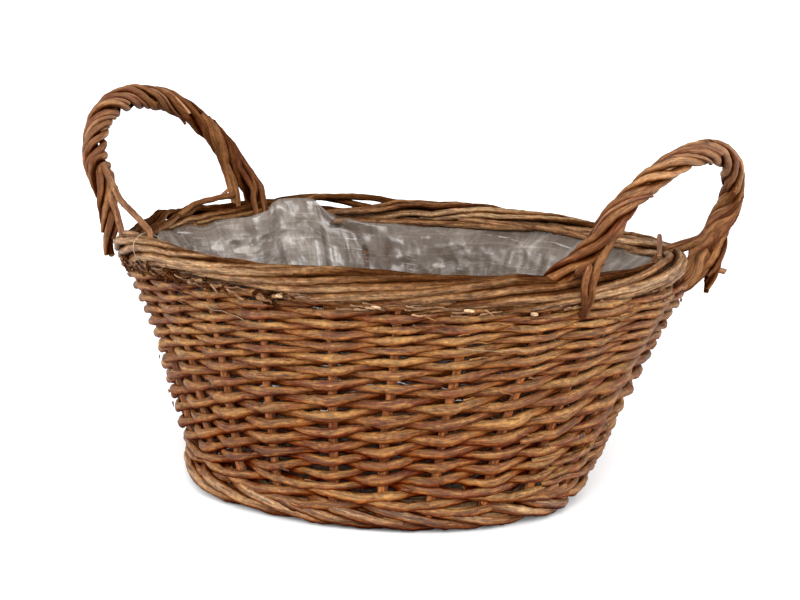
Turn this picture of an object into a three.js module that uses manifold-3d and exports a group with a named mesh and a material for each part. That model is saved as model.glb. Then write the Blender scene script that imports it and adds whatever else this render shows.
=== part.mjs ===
// Willow planter basket: oval, flared, two twisted rod handles, clear film liner.
// Millimetres, +Z up. Origin at the middle of the footprint, on the ground.
// +X runs along the long axis of the oval, +Y towards the back.
import * as THREE from 'three';
import { mergeVertices } from 'three/addons/utils/BufferGeometryUtils.js';
import Module from 'manifold-3d';

// ---- driving dimensions -------------------------------------------------
const STAKES = 24;              // uprights round the wall
const STAKE_PHASE = 0.25;       // first upright, in pitches from +X
const STAKE_D = 6.0;            // upright diameter
const WALL_A0 = 126, WALL_B0 = 112.6;   // wall centre line at the ground, half axes
const WALL_A1 = 191, WALL_B1 = 143;     // wall centre line at the rim, half axes
const WALL_Z1 = 160;            // height of the rim figures above
const WALL_HOLLOW = 4;          // how far the ends curve in at mid height
const GAP = 0.35;               // clearance between neighbouring pieces

const FOOT_H = 13, FOOT_W = 14; // foot border section
const UPSETT_Z0 = 13.6;         // the weaving starts here
const WEAVE_Z1 = 144.2;         // and stops here
const COURSES = 8;              // one upsett wale and seven bands of randing
const BAND_T = 4.0;             // weaver thickness across the wall
const BAND_SWING = 6.35;        // how far a band swings in front of and behind the uprights

const BORDER_LOW_R = 4.6, BORDER_TOP_R = 5.5;   // rods of the top border
const BORDER_SPLIT = 4.8;       // lower rods' distance from the wall centre line
const BORDER_LOW_Z = 154.8, BORDER_TOP_Z = 164.2;

const STRAND_D = 7.2, STRAND_R = 5.0;   // handle rope: three strands laid together
const ROPE_PITCH = 66;          // one right-handed turn
const HANDLE_X0 = 183, HANDLE_LEAN = 45;        // leg position and outward lean
const HANDLE_YW = 78, HANDLE_Z0 = 148, HANDLE_H = 91;
const LASH_D = 3.2;             // rod that ties a handle leg to the border

const LINER_T = 1.0, LINER_Z0 = 20.2, LINER_Z1 = 160;
const LINER_INSET = 10.4, LINER_INSET_RIM = 16.6;  // film to wall centre line, below and at the rim

const BASE_A = 115, BASE_B = 101, BASE_Z0 = 7.2, BASE_Z1 = 19.0;
const BASE_STICK_D = 4.4;
const LONG_STICKS = [-26, 0, 26];           // y of the sticks along X
const CROSS_STICKS = [-72, -36, 0, 36, 72]; // x of the sticks along Y

// ---- materials ----------------------------------------------------------
const willow = (color) => new THREE.MeshStandardMaterial({ color, roughness: 0.62, metalness: 0 });
const M = {
  stake: willow(0x7a5334), weave: willow(0xa8744a), wale: willow(0x8f6039),
  border: willow(0x9c7449), foot: willow(0x8a5f3b), handle: willow(0x84573a),
  base: willow(0x966a43), tie: willow(0x6f4a2f),
  film: new THREE.MeshStandardMaterial({ color: 0xb9bcbd, roughness: 0.18, metalness: 0, transparent: true, opacity: 0.45 }),
  thread: new THREE.MeshStandardMaterial({ color: 0xb8b2a4, roughness: 0.45, metalness: 0 }),
};

// ---- the wall's own frame ----------------------------------------------
const wallA = (z) => WALL_A0 + (WALL_A1 - WALL_A0) * z / WALL_Z1 - WALL_HOLLOW * Math.sin(Math.PI * Math.min(1, Math.max(0, z / WALL_Z1)));
const wallB = (z) => WALL_B0 + (WALL_B1 - WALL_B0) * z / WALL_Z1;
const wallPoint = (t, z) => new THREE.Vector3(wallA(z) * Math.cos(t), wallB(z) * Math.sin(t), z);
const outward = (t, z) => new THREE.Vector3(Math.cos(t) / wallA(z), Math.sin(t) / wallB(z), 0).normalize();
// Equal steps round the oval: angle for a fraction of the way round, at mid height.
const arcTable = (() => {
  const n = 2880, zm = 70, table = [0];
  let last = wallPoint(0, zm);
  for (let i = 1; i <= n; i++) {
    const p = wallPoint(2 * Math.PI * i / n, zm);
    table.push(table[i - 1] + p.distanceTo(last));
    last = p;
  }
  return table.map((v) => v / table[n]);
})();
function angleAt(fraction) {
  const whole = Math.floor(fraction), f = fraction - whole;
  let lo = 0, hi = arcTable.length - 1;
  while (hi - lo > 1) { const m = (lo + hi) >> 1; if (arcTable[m] <= f) lo = m; else hi = m; }
  const k = (f - arcTable[lo]) / (arcTable[hi] - arcTable[lo]);
  return 2 * Math.PI * (whole + (lo + k) / (arcTable.length - 1));
}
const stakeAngle = (j) => angleAt((j + STAKE_PHASE) / STAKES);

// ---- building blocks ----------------------------------------------------
const part = new THREE.Group();
function add(name, geometry, material) {
  geometry.computeVertexNormals();
  const mesh = new THREE.Mesh(geometry, material);
  mesh.name = name;
  part.add(mesh);
  return mesh;
}
// A closed ring: place(i, j) gives the point at step i round the ring, corner j of the section.
function ring(steps, sides, place) {
  const g = new THREE.TorusGeometry(10, 2, sides, steps);
  const p = g.attributes.position;
  for (let j = 0; j <= sides; j++) {
    for (let i = 0; i <= steps; i++) {
      const q = place(i % steps, j % sides);
      p.setXYZ(j * (steps + 1) + i, q.x, q.y, q.z);
    }
  }
  return g;
}
function roundSection(radius, sides) {
  const s = new THREE.Shape();
  for (let k = 0; k < sides; k++) {
    const a = 2 * Math.PI * (k + 0.5) / sides;
    if (k === 0) s.moveTo(radius * Math.cos(a), radius * Math.sin(a));
    else s.lineTo(radius * Math.cos(a), radius * Math.sin(a));
  }
  s.closePath();
  return s;
}
function rod(points, diameter, sides, steps) {
  const curve = points.length === 2 ? new THREE.LineCurve3(points[0], points[1]) : new THREE.CatmullRomCurve3(points);
  return new THREE.ExtrudeGeometry(roundSection(diameter / 2, sides), { steps, bevelEnabled: false, extrudePath: curve });
}
// A small closed loop of rod round the border, in the upright plane at angle t.
function loopRoundBorder(t, inner, outer, z0, z1, diameter, steps, sides) {
  const z = (z0 + z1) / 2, n = outward(t, z), up = new THREE.Vector3(0, 0, 1);
  const side = new THREE.Vector3().crossVectors(n, up).normalize();
  const c = wallPoint(t, WALL_Z1).setZ(z).addScaledVector(n, (inner + outer) / 2);
  const hn = (outer - inner) / 2, hz = (z1 - z0) / 2, power = 0.55;
  return ring(steps, sides, (i, j) => {
    const u = 2 * Math.PI * i / steps, v = 2 * Math.PI * j / sides;
    const cu = Math.cos(u), su = Math.sin(u);
    const pn = hn * Math.sign(cu) * Math.abs(cu) ** power, pz = hz * Math.sign(su) * Math.abs(su) ** power;
    const out = n.clone().multiplyScalar(cu).addScaledVector(up, su).normalize();
    return c.clone().addScaledVector(n, pn).addScaledVector(up, pz)
      .addScaledVector(out, diameter / 2 * Math.cos(v)).addScaledVector(side, diameter / 2 * Math.sin(v));
  });
}

// ---- base: sticks threaded through an oval woven mat --------------------
const zLong = BASE_Z1 - 1.2 - BASE_STICK_D / 2, zCross = BASE_Z0 + 1.2 + BASE_STICK_D / 2;
const halfAt = (a, b, v) => a * Math.sqrt(Math.max(0, 1 - (v / b) ** 2));
const sticks = [];
LONG_STICKS.forEach((y, k) => {
  const h = halfAt(BASE_A, BASE_B, y) + 1.5;
  sticks.push(['base_stick_long_' + (k + 1), new THREE.Vector3(-h, y, zLong), new THREE.Vector3(h, y, zLong)]);
});
CROSS_STICKS.forEach((x, k) => {
  const h = halfAt(BASE_B, BASE_A, x) + 1.5;
  sticks.push(['base_stick_cross_' + (k + 1), new THREE.Vector3(x, -h, zCross), new THREE.Vector3(x, h, zCross)]);
});
for (const [name, p, q] of sticks) add(name, rod([p, q], BASE_STICK_D, 6, 1), M.base);

const wasm = await Module();
wasm.setup();
function solid(geometry) {
  const g = geometry.clone();
  g.deleteAttribute('normal'); g.deleteAttribute('uv');
  const m = mergeVertices(g, 1e-4);
  return new wasm.Manifold(new wasm.Mesh({
    numProp: 3,
    vertProperties: new Float32Array(m.attributes.position.array),
    triVerts: new Uint32Array(m.index.array),
  }));
}
function geometryOf(manifold) {
  const m = manifold.getMesh(), g = new THREE.BufferGeometry();
  const pos = new Float32Array(m.numProp === 3 ? m.vertProperties : m.vertProperties.filter((_, i) => i % m.numProp < 3));
  g.setAttribute('position', new THREE.BufferAttribute(pos, 3));
  g.setIndex(new THREE.BufferAttribute(new Uint32Array(m.triVerts), 1));
  return g;
}
{
  const oval = new THREE.CylinderGeometry(1, 1, BASE_Z1 - BASE_Z0, 40, 1);
  oval.rotateX(Math.PI / 2);
  oval.scale(BASE_A, BASE_B, 1);
  oval.translate(0, 0, (BASE_Z0 + BASE_Z1) / 2);
  let mat = solid(oval);
  for (const [, p, q] of sticks) {
    const d = q.clone().sub(p).normalize().multiplyScalar(10);
    mat = mat.subtract(solid(rod([p.clone().sub(d), q.clone().add(d)], BASE_STICK_D + 2 * GAP, 6, 1)));
  }
  add('base_weave', geometryOf(mat), M.base);
}

// ---- foot border: the ring that the basket stands on --------------------
add('foot_border', ring(48, 6, (i, j) => {
  const t = 2 * Math.PI * i / 48, n = outward(t, 0), w = FOOT_W / 2;
  const sec = [[w, 4], [w, 9], [w - 4, FOOT_H], [-w + 3, FOOT_H], [-w, 7], [-w + 3, 0]];
  // the sixth corner and the first share the ground through the flat sole
  const [dn, z] = j === 0 ? [w - 3, 0] : sec[j];
  return wallPoint(t, 0).addScaledVector(n, dn).setZ(z);
}), M.foot);

// ---- uprights -----------------------------------------------------------
for (let j = 0; j < STAKES; j++) {
  const t = stakeAngle(j), pts = [];
  for (let k = 0; k <= 3; k++) pts.push(wallPoint(t, 14.8 + (148.2 - 14.8) * k / 3));
  add('stake_' + String(j + 1).padStart(2, '0'), rod(pts, STAKE_D, 6, 3), M.stake);
}

// ---- wall weaving: bands that pass in front of one upright and behind the next
const PER_GAP = 3, STEPS = STAKES * PER_GAP;
const courseH = (WEAVE_Z1 - UPSETT_Z0) / COURSES;
for (let c = 0; c < COURSES; c++) {
  const z0 = UPSETT_Z0 + c * courseH + GAP / 2, z1 = UPSETT_Z0 + (c + 1) * courseH - GAP / 2;
  const phase = c % 2 === 0 ? 1 : -1;
  const geometry = ring(STEPS, 4, (i, j) => {
    const t = angleAt((i / PER_GAP + STAKE_PHASE) / STAKES);
    const swing = phase * BAND_SWING * Math.cos(Math.PI * i / PER_GAP);
    const [dn, z] = [[BAND_T / 2, z0], [BAND_T / 2, z1], [-BAND_T / 2, z1], [-BAND_T / 2, z0]][j];
    return wallPoint(t, z).addScaledVector(outward(t, z), swing + dn);
  });
  if (c === 0) add('upsett_wale', geometry, M.wale);
  else add('randing_course_' + c, geometry, M.weave);
}

// ---- top border: two rods side by side and one laid over them ------------
function borderRod(name, offset, z, radius) {
  add(name, ring(48, 6, (i, j) => {
    const t = 2 * Math.PI * i / 48, v = 2 * Math.PI * (j + 0.5) / 6, n = outward(t, WALL_Z1);
    return wallPoint(t, WALL_Z1).setZ(z + radius * Math.sin(v)).addScaledVector(n, offset + radius * Math.cos(v));
  }), M.border);
}
borderRod('border_rod_outer', BORDER_SPLIT, BORDER_LOW_Z, BORDER_LOW_R);
borderRod('border_rod_inner', -BORDER_SPLIT, BORDER_LOW_Z, BORDER_LOW_R);
borderRod('border_rod_top', 0, BORDER_TOP_Z, BORDER_TOP_R);

// ---- handles: three strands laid right-handed along a leaning arch --------
function archPoint(u, side) {
  const th = Math.PI * u, c = Math.cos(th), s = Math.max(0, Math.sin(th));
  return new THREE.Vector3(
    side * (HANDLE_X0 + HANDLE_LEAN * s ** 0.92),
    -side * HANDLE_YW * Math.sign(c) * Math.abs(c) ** 0.98,
    HANDLE_Z0 + HANDLE_H * s ** 0.7);
}
for (const [word, side] of [['left', -1], ['right', 1]]) {
  const n = 400, pts = [], len = [0];
  for (let i = 0; i <= n; i++) {
    pts.push(archPoint(i / n, side));
    if (i) len.push(len[i - 1] + pts[i].distanceTo(pts[i - 1]));
  }
  const across = new THREE.Vector3(HANDLE_H * side, 0, -HANDLE_LEAN).normalize(); // square to the arch's plane
  for (let k = 0; k < 3; k++) {
    const path = [], count = 34;
    for (let i = 0; i <= count; i++) {
      const want = len[n] * i / count;
      let a = 0; while (a < n - 1 && len[a + 1] < want) a++;
      const f = Math.min(1, (want - len[a]) / (len[a + 1] - len[a]));
      const p = pts[a].clone().lerp(pts[a + 1], f);
      const tangent = pts[Math.min(n, a + 3)].clone().sub(pts[Math.max(0, a - 3)]).normalize();
      const e2 = across.clone().addScaledVector(tangent, -across.dot(tangent)).normalize();
      const e1 = new THREE.Vector3().crossVectors(e2, tangent).normalize();
      const phi = 2 * Math.PI * (want / ROPE_PITCH + k / 3);
      path.push(p.addScaledVector(e1, STRAND_R * Math.cos(phi)).addScaledVector(e2, STRAND_R * Math.sin(phi)));
    }
    add('handle_' + word + '_strand_' + (k + 1), rod(path, STRAND_D, 5, count), M.handle);
  }
}
// A lashing of thin rod ties each leg to the border: outside the leg, over the border,
// down inside it, and back out underneath between two uprights.
function lashing(sx, sy) {
  const leg = new THREE.Vector3(sx * HANDLE_X0, sy * HANDLE_YW, 0);
  let t = 0, near = Infinity;
  for (let i = 0; i < 3600; i++) {
    const u = 2 * Math.PI * i / 3600, d = wallPoint(u, WALL_Z1).setZ(0).distanceTo(leg);
    if (d < near) { near = d; t = u; }
  }
  const n = outward(t, WALL_Z1), along = new THREE.Vector3(-n.y, n.x, 0), c = wallPoint(t, WALL_Z1).setZ(0);
  // go under the border on the side where no upright is in the way
  let turn = 1, clear = -1;
  for (const k of [1, -1]) {
    let least = Infinity;
    for (let j = 0; j < STAKES; j++) {
      const q = wallPoint(stakeAngle(j), 147).setZ(0).sub(c);
      least = Math.min(least, Math.abs(q.dot(along) + k * 10) + Math.abs(q.dot(n) + 4) * 0.2);
    }
    if (least > clear) { clear = least; turn = k; }
  }
  const local = [
    [near + 15.4, 0.5, 157.5], [near + 8.5, 12.4, 164], [2, 12.6, 172.4], [-8.6, 9.5, 168.6], [-12.6, 4, 159.4],
    [-12.4, -2.5, 153.6], [-8.6, -8, 147.9], [0, -11.5, 147.0], [near - 2, -13.4, 148.0], [near + 9, -11.4, 151],
  ];
  let path = local.map(([dn, ds, z]) => c.clone().addScaledVector(n, dn).addScaledVector(along, turn * ds).setZ(z));
  return closedRod(path, LASH_D / 2, 30, 5);
}
function closedRod(points, radius, steps, sides) {
  const curve = new THREE.CatmullRomCurve3(points, true, 'centripetal');
  const f = curve.computeFrenetFrames(steps, true);
  return ring(steps, sides, (i, j) => {
    const v = 2 * Math.PI * j / sides;
    return curve.getPointAt(i / steps).addScaledVector(f.normals[i], radius * Math.cos(v))
      .addScaledVector(f.binormals[i], -radius * Math.sin(v));
  });
}
for (const [word, sx, sy] of [['left_front', -1, -1], ['left_back', -1, 1], ['right_front', 1, -1], ['right_back', 1, 1]]) {
  add('handle_' + word + '_lashing', lashing(sx, sy), M.tie);
}

// ---- film liner: an open bag that lines the wall and the base ------------
{
  const lathe = [];
  const levels = [[LINER_Z0, LINER_INSET], [60, LINER_INSET], [110, LINER_INSET], [LINER_Z1, LINER_INSET_RIM]];
  lathe.push([0, LINER_Z0, 0]);
  for (const [z, inset] of levels) lathe.push([1, z, inset]);
  for (const [z, inset] of [...levels].reverse()) lathe.push([1, z === LINER_Z0 ? z + LINER_T : z, inset + LINER_T]);
  lathe.push([0, LINER_Z0 + LINER_T, 0]);
  const g = new THREE.LatheGeometry(lathe.map(([r, z]) => new THREE.Vector2(r, z)), 40);
  const p = g.attributes.position, count = lathe.length;
  for (let i = 0; i <= 40; i++) {
    for (let j = 0; j < count; j++) {
      const t = 2 * Math.PI * (i % 40) / 40;
      const [r, z, inset] = lathe[j];
      const q = r === 0 ? new THREE.Vector3(0, 0, z) : wallPoint(t, z).addScaledVector(outward(t, z), -inset);
      p.setXYZ(i * count + j, q.x, q.y, q.z);
    }
  }
  add('liner_film', g, M.film);
}
// One stitch of fine thread holds the film's edge to the border.
add('liner_stitch', loopRoundBorder(angleAt((15 + 0.5 + STAKE_PHASE) / STAKES), -13.0, 12.2, 146.6, 172.6, 1.2, 16, 4), M.thread);

export default part;
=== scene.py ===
import bpy
import math
import numpy as np
from mathutils import Matrix, Vector


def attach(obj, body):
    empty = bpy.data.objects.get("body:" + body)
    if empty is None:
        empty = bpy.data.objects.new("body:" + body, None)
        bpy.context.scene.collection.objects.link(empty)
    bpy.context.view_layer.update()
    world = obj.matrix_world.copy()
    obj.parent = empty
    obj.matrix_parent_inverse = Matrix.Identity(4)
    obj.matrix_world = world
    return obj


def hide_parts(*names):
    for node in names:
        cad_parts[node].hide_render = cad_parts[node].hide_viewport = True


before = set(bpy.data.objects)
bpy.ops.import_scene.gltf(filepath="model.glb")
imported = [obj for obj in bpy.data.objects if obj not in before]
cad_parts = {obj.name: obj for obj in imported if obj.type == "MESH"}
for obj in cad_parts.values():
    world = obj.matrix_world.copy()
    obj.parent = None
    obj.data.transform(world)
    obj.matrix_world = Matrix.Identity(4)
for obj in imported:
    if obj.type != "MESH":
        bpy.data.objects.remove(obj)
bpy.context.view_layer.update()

MM = 0.001
TAU = 2 * math.pi

# ---------------------------------------------------------------- dimensions
STAKES = 24
PHASE = 0.25
A0, B0 = 126.0, 112.6
A1, B1 = 191.0, 143.0
Z1 = 160.0
HOLLOW = 4.0


def wall_a(z):
    return A0 + (A1 - A0) * z / Z1 - HOLLOW * np.sin(np.pi * np.clip(z / Z1, 0, 1))


def wall_b(z):
    return B0 + (B1 - B0) * z / Z1


_T = np.linspace(0, TAU, 2881)
_x, _y = wall_a(70.0) * np.cos(_T), wall_b(70.0) * np.sin(_T)
_L = np.concatenate([[0], np.cumsum(np.hypot(np.diff(_x), np.diff(_y)))])
_L /= _L[-1]


def ang(fr):
    """Angle on the oval for a fraction of the way round, counted in equal steps."""
    fr = np.asarray(fr, float)
    w = np.floor(fr)
    return TAU * w + np.interp(fr - w, _L, _T)


def wall(u, z, n=0.0):
    """Point at upright number u (a real number), height z and n outward of the wall's middle."""
    u, z, n = np.broadcast_arrays(np.asarray(u, float), np.asarray(z, float), np.asarray(n, float))
    t = ang((u + PHASE) / STAKES)
    a, b = wall_a(z), wall_b(z)
    nx, ny = np.cos(t) / a, np.sin(t) / b
    h = np.hypot(nx, ny)
    return np.stack([a * np.cos(t) + n * nx / h, b * np.sin(t) + n * ny / h, z], -1)


def outward(u, z, rise=0.0):
    """Direction out of the wall, turned upwards by rise."""
    d = wall(u, z, 1.0) - wall(u, z, 0.0)
    d[..., 2] += rise
    return d


def near(u, c, w):
    """1 at upright c, falling to 0 within about w uprights."""
    d = (np.asarray(u, float) - c + STAKES / 2) % STAKES - STAKES / 2
    return np.exp(-(d / w) ** 2)


def woven(u, z, n=0.0):
    """The wall as it was woven by hand: fuller at the right-hand end and under the left-hand rim."""
    z = np.asarray(z, float)
    right = np.interp(z, [15, 55, 85, 115, 146, 156], [1.0, 3.8, 5.8, 9.0, 11.0, 6.0])
    left = np.interp(z, [60, 75, 90, 115, 132, 146, 156], [0.4, -0.4, -0.3, 1.9, 4.0, 5.2, 2.0])
    return wall(u, z, n + right * near(u, 0.9, 2.4) + left * near(u, 14.2, 2.0))


# ---------------------------------------------------------------- helpers
def rand(seed):
    return np.random.default_rng(seed)


def wobble(g, x, length, octaves=3):
    """Smooth random curve of about unit size; length is the scale of its longest wave."""
    x = np.asarray(x, float)
    out = np.zeros_like(x)
    for k in range(octaves):
        f = (1.9 ** k) * TAU / length * g.uniform(0.8, 1.25)
        out += np.sin(x * f + g.uniform(0, TAU)) * 0.62 ** k
    return out / 1.5


def periodic(g, fr, waves, octaves=3):
    """Smooth random curve that closes on itself round the oval."""
    out = np.zeros_like(np.asarray(fr, float))
    for k in range(octaves):
        w = int(round(waves * (1.7 ** k)))
        out += np.sin(TAU * (fr * w + g.uniform())) * 0.65 ** k
    return out / 1.5


def smooth(P, step=2.2):
    """Catmull-Rom curve through the points, in about equal steps."""
    P = np.asarray(P, float)
    if len(P) == 2:
        n = max(3, int(np.linalg.norm(P[1] - P[0]) / step))
        return P[0] + (P[1] - P[0]) * np.linspace(0, 1, n)[:, None]
    Q = np.vstack([2 * P[0] - P[1], P, 2 * P[-1] - P[-2]])
    out = []
    for i in range(1, len(Q) - 2):
        p0, p1, p2, p3 = Q[i - 1], Q[i], Q[i + 1], Q[i + 2]
        d = [max(1e-6, np.linalg.norm(b - a) ** 0.5) for a, b in ((p0, p1), (p1, p2), (p2, p3))]
        m1 = (p1 - p0) / d[0] - (p2 - p0) / (d[0] + d[1]) + (p2 - p1) / d[1]
        m2 = (p2 - p1) / d[1] - (p3 - p1) / (d[1] + d[2]) + (p3 - p2) / d[2]
        m1, m2 = m1 * d[1], m2 * d[1]
        s = np.linspace(0, 1, max(3, int(np.linalg.norm(p2 - p1) / step * 2)), endpoint=False)[:, None]
        out.append((2 * s ** 3 - 3 * s ** 2 + 1) * p1 + (s ** 3 - 2 * s ** 2 + s) * m1 + (-2 * s ** 3 + 3 * s ** 2) * p2 + (s ** 3 - s ** 2) * m2)
    C = np.vstack(out + [P[-1:]])
    L = np.concatenate([[0], np.cumsum(np.linalg.norm(np.diff(C, axis=0), axis=1))])
    n = max(4, int(L[-1] / step) + 1)
    w = np.linspace(0, L[-1], n)
    return np.stack([np.interp(w, L, C[:, k]) for k in range(3)], -1)


def frames(P):
    """Tangents and two cross directions that don't spin along the curve."""
    T = np.gradient(P, axis=0)
    T /= np.linalg.norm(T, axis=1)[:, None] + 1e-12
    ref = np.array([0.0, 0, 1]) if abs(T[0, 2]) < 0.9 else np.array([1.0, 0, 0])
    v = ref - T[0] * (ref @ T[0])
    v /= np.linalg.norm(v)
    N = np.empty_like(P)
    N[0] = v
    for i in range(1, len(P)):
        v = v - T[i] * (v @ T[i])
        v = v / (np.linalg.norm(v) + 1e-12)
        N[i] = v
    return T, N, np.cross(T, N)


class Bundle:
    """Willow rods collected into one mesh; every rod is a closed tube with cut ends."""

    def __init__(self, name):
        self.name = name
        self.v, self.q, self.t = [], [], []
        self.co, self.rnd, self.knot, self.cut, self.tone, self.shade = [], [], [], [], [], []
        self.n = 0

    def rod(self, P, r, seed, sides=10, knots=1.0, tone=0.0, lump=0.05, jitter=0.12, slant=(0.0, 0.0), tall=1.0, shade=1.0, under=0.55,
            out=None, groove=(0.3, -0.3, 0.7), hue=None, back=0.0):
        """tall makes the section higher than wide, shade scales the rod's colour along its length, mostly as painted
        shade, under paints shade on its underside.
        out is the open side of the rod; painted shade gathers on the sides that face away from it, and back lifts it
        again where they face straight away."""
        g = rand(seed)
        P = np.asarray(P, float)
        n = len(P)
        L = np.concatenate([[0], np.cumsum(np.linalg.norm(np.diff(P, axis=0), axis=1))])
        T, N, B = frames(P)
        if jitter:
            fade = np.minimum(1, np.minimum(L, L[-1] - L) / 8.0)
            P = P + N * (wobble(g, L, 23) * jitter * fade)[:, None] + B * (wobble(g, L, 29) * jitter * fade)[:, None]
            T, N, B = frames(P)
        r = np.broadcast_to(np.asarray(r, float), (n,)).copy()
        r *= 1 + lump * wobble(g, L, 26, 4)
        a = np.arange(sides) * TAU / sides
        ra = r[:, None] * (1 + 0.045 * np.cos(2 * (a[None, :] - (g.uniform(0, TAU) + L[:, None] / 90.0))))
        ra *= 1 + 0.018 * np.sin(5 * a[None, :] + g.uniform(0, TAU) + wobble(g, L, 60)[:, None])
        km = np.zeros((n, sides))
        if knots > 0:
            s, turn = g.uniform(4, 30), g.uniform(0, TAU)
            while s < L[-1]:
                ka = turn + g.normal(0, 0.25)
                turn += 2.4
                size = g.uniform(0.35, 1.0) * knots
                da = (a - ka + math.pi) % TAU - math.pi
                bump = np.exp(-((L[:, None] - s) / 1.9) ** 2) * np.exp(-(da[None, :] / 0.75) ** 2)
                collar = np.exp(-((L[:, None] - s) / 2.6) ** 2) * 0.28
                ra += r[:, None] * (0.30 * size * bump + 0.16 * size * collar)
                km = np.maximum(km, size * np.maximum(bump, collar * 0.8))
                s += g.uniform(20, 46)
        tall = np.broadcast_to(np.asarray(tall, float), (n,))
        dirs = (np.cos(a)[None, :] * tall[:, None])[:, :, None] * N[:, None, :] + np.sin(a)[None, :, None] * B[:, None, :]
        ring = P[:, None, :] + ra[:, :, None] * dirs
        # painted shade on the underside, then in the grooves that face away from out
        low = np.clip((0.25 - dirs[:, :, 2] / np.maximum(1.0, tall)[:, None]) / 1.1, 0, 1)
        sh = np.broadcast_to(np.asarray(shade, float), (n,))[:, None] * (1 - under * low * low * (3 - 2 * low))
        if out is not None:
            o = np.asarray(out, float)
            o = o / (np.linalg.norm(o, axis=-1, keepdims=True) + 1e-9)
            dn = dirs / (np.linalg.norm(dirs, axis=2, keepdims=True) + 1e-9)
            dot = (dn * o[:, None, :]).sum(2) if o.ndim == 2 else dn @ o
            w = np.clip((dot - groove[1]) / (groove[2] - groove[1]), 0, 1)
            sh = sh * (groove[0] + (1 - groove[0]) * w * w * (3 - 2 * w))
            sh = np.maximum(sh, back * np.clip((-0.35 - dot) / 0.45, 0, 1))
        off = g.uniform(0, 40)
        rnd = g.uniform() if hue is None else hue
        co = np.stack([np.broadcast_to((L * MM + off)[:, None], (n, sides)), ra * np.cos(a) * MM, ra * np.sin(a) * MM], -1)
        base = self.n
        rings, cos, cuts, kn, shs = [ring], [co], [np.zeros((n, sides))], [km], [sh]
        # ends: a small bevel ring, then a centre point
        ends = []
        for e, sgn, sl in ((0, -1, slant[0]), (n - 1, 1, slant[1])):
            c = P[e] + T[e] * sgn * min(0.35, r[e] * 0.15)
            b = c + (ring[e] - P[e]) * 0.86
            if sl:
                b = b + T[e] * sgn * sl * r[e] * np.cos(a)[:, None]
            rings.append(b[None])
            cc = co[e].copy()
            cc[:, 1:] *= 0.86
            cos.append(cc[None])
            cuts.append(np.ones((1, sides)))
            kn.append(np.zeros((1, sides)))
            shs.append(np.full((1, sides), sh[e].max()))
            ends.append((c, co[e, 0, 0]))
        V = np.concatenate([x.reshape(-1, 3) for x in rings])
        C = np.concatenate([x.reshape(-1, 3) for x in cos])
        U = np.concatenate([x.reshape(-1) for x in cuts])
        K = np.concatenate([x.reshape(-1) for x in kn])
        S = np.concatenate([x.reshape(-1) for x in shs])
        i0, i1 = n * sides, (n + 1) * sides
        V = np.concatenate([V, np.array([ends[0][0], ends[1][0]])])
        C = np.concatenate([C, np.array([[ends[0][1], 0, 0], [ends[1][1], 0, 0]])])
        U = np.concatenate([U, [1, 1]])
        K = np.concatenate([K, [0, 0]])
        S = np.concatenate([S, [sh[0].max(), sh[-1].max()]])
        c0, c1 = (n + 2) * sides, (n + 2) * sides + 1
        j = np.arange(sides)
        k = (j + 1) % sides
        i = np.arange(n - 1)[:, None] * sides
        Q = np.stack([i + j, i + k, i + sides + k, i + sides + j], -1).reshape(-1, 4)
        Q = np.concatenate([Q, np.stack([i0 + j, i0 + k, k, j], -1), np.stack([(n - 1) * sides + j, (n - 1) * sides + k, i1 + k, i1 + j], -1)])
        R = np.concatenate([np.stack([np.full(sides, c0), i0 + k, i0 + j], -1), np.stack([np.full(sides, c1), i1 + j, i1 + k], -1)])
        self.v.append(V)
        self.q.append(Q + base)
        self.t.append(R + base)
        self.co.append(C)
        self.rnd.append(np.full(len(V), rnd))
        tn = np.broadcast_to(np.asarray(tone, float), (n,))
        self.tone.append(np.concatenate([np.repeat(tn, sides), np.full(sides, tn[0]), np.full(sides, tn[-1]), [tn[0], tn[-1]]]))
        self.knot.append(K)
        self.cut.append(U)
        self.shade.append(S)
        self.n += len(V)

    def make(self, material, slot, *nodes):
        V = np.concatenate(self.v) * MM
        Q, R = np.concatenate(self.q), np.concatenate(self.t)
        ob = mesh_object(self.name, V, Q, R, material)
        me = ob.data
        for name, kind, data in (("rodco", "FLOAT_VECTOR", np.concatenate(self.co)), ("rnd", "FLOAT", np.concatenate(self.rnd)),
                                 ("tone", "FLOAT", np.concatenate(self.tone)), ("knot", "FLOAT", np.concatenate(self.knot)), ("cut", "FLOAT", np.concatenate(self.cut)),
                                 ("shade", "FLOAT", np.concatenate(self.shade))):
            at = me.attributes.new(name, kind, "POINT")
            at.data.foreach_set("vector" if kind == "FLOAT_VECTOR" else "value", np.ascontiguousarray(data, np.float32).ravel())
        place(ob, slot, *nodes)
        return ob


def mesh_object(name, V, Q, R, material, smooth_faces=True):
    me = bpy.data.meshes.new(name)
    nq, nt = len(Q), len(R)
    me.vertices.add(len(V))
    me.vertices.foreach_set("co", np.ascontiguousarray(V, np.float32).ravel())
    me.loops.add(nq * 4 + nt * 3)
    me.loops.foreach_set("vertex_index", np.concatenate([np.asarray(Q, np.int32).ravel(), np.asarray(R, np.int32).ravel()]))
    me.polygons.add(nq + nt)
    me.polygons.foreach_set("loop_start", np.concatenate([np.arange(nq) * 4, nq * 4 + np.arange(nt) * 3]).astype(np.int32))
    me.polygons.foreach_set("use_smooth", np.full(nq + nt, smooth_faces))
    me.update(calc_edges=True)
    me.validate()
    ob = bpy.data.objects.new(name, me)
    bpy.context.scene.collection.objects.link(ob)
    me.materials.append(material)
    return ob


def place(ob, slot, *nodes):
    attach(ob, "root")
    if nodes:
        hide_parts(*nodes)


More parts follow.
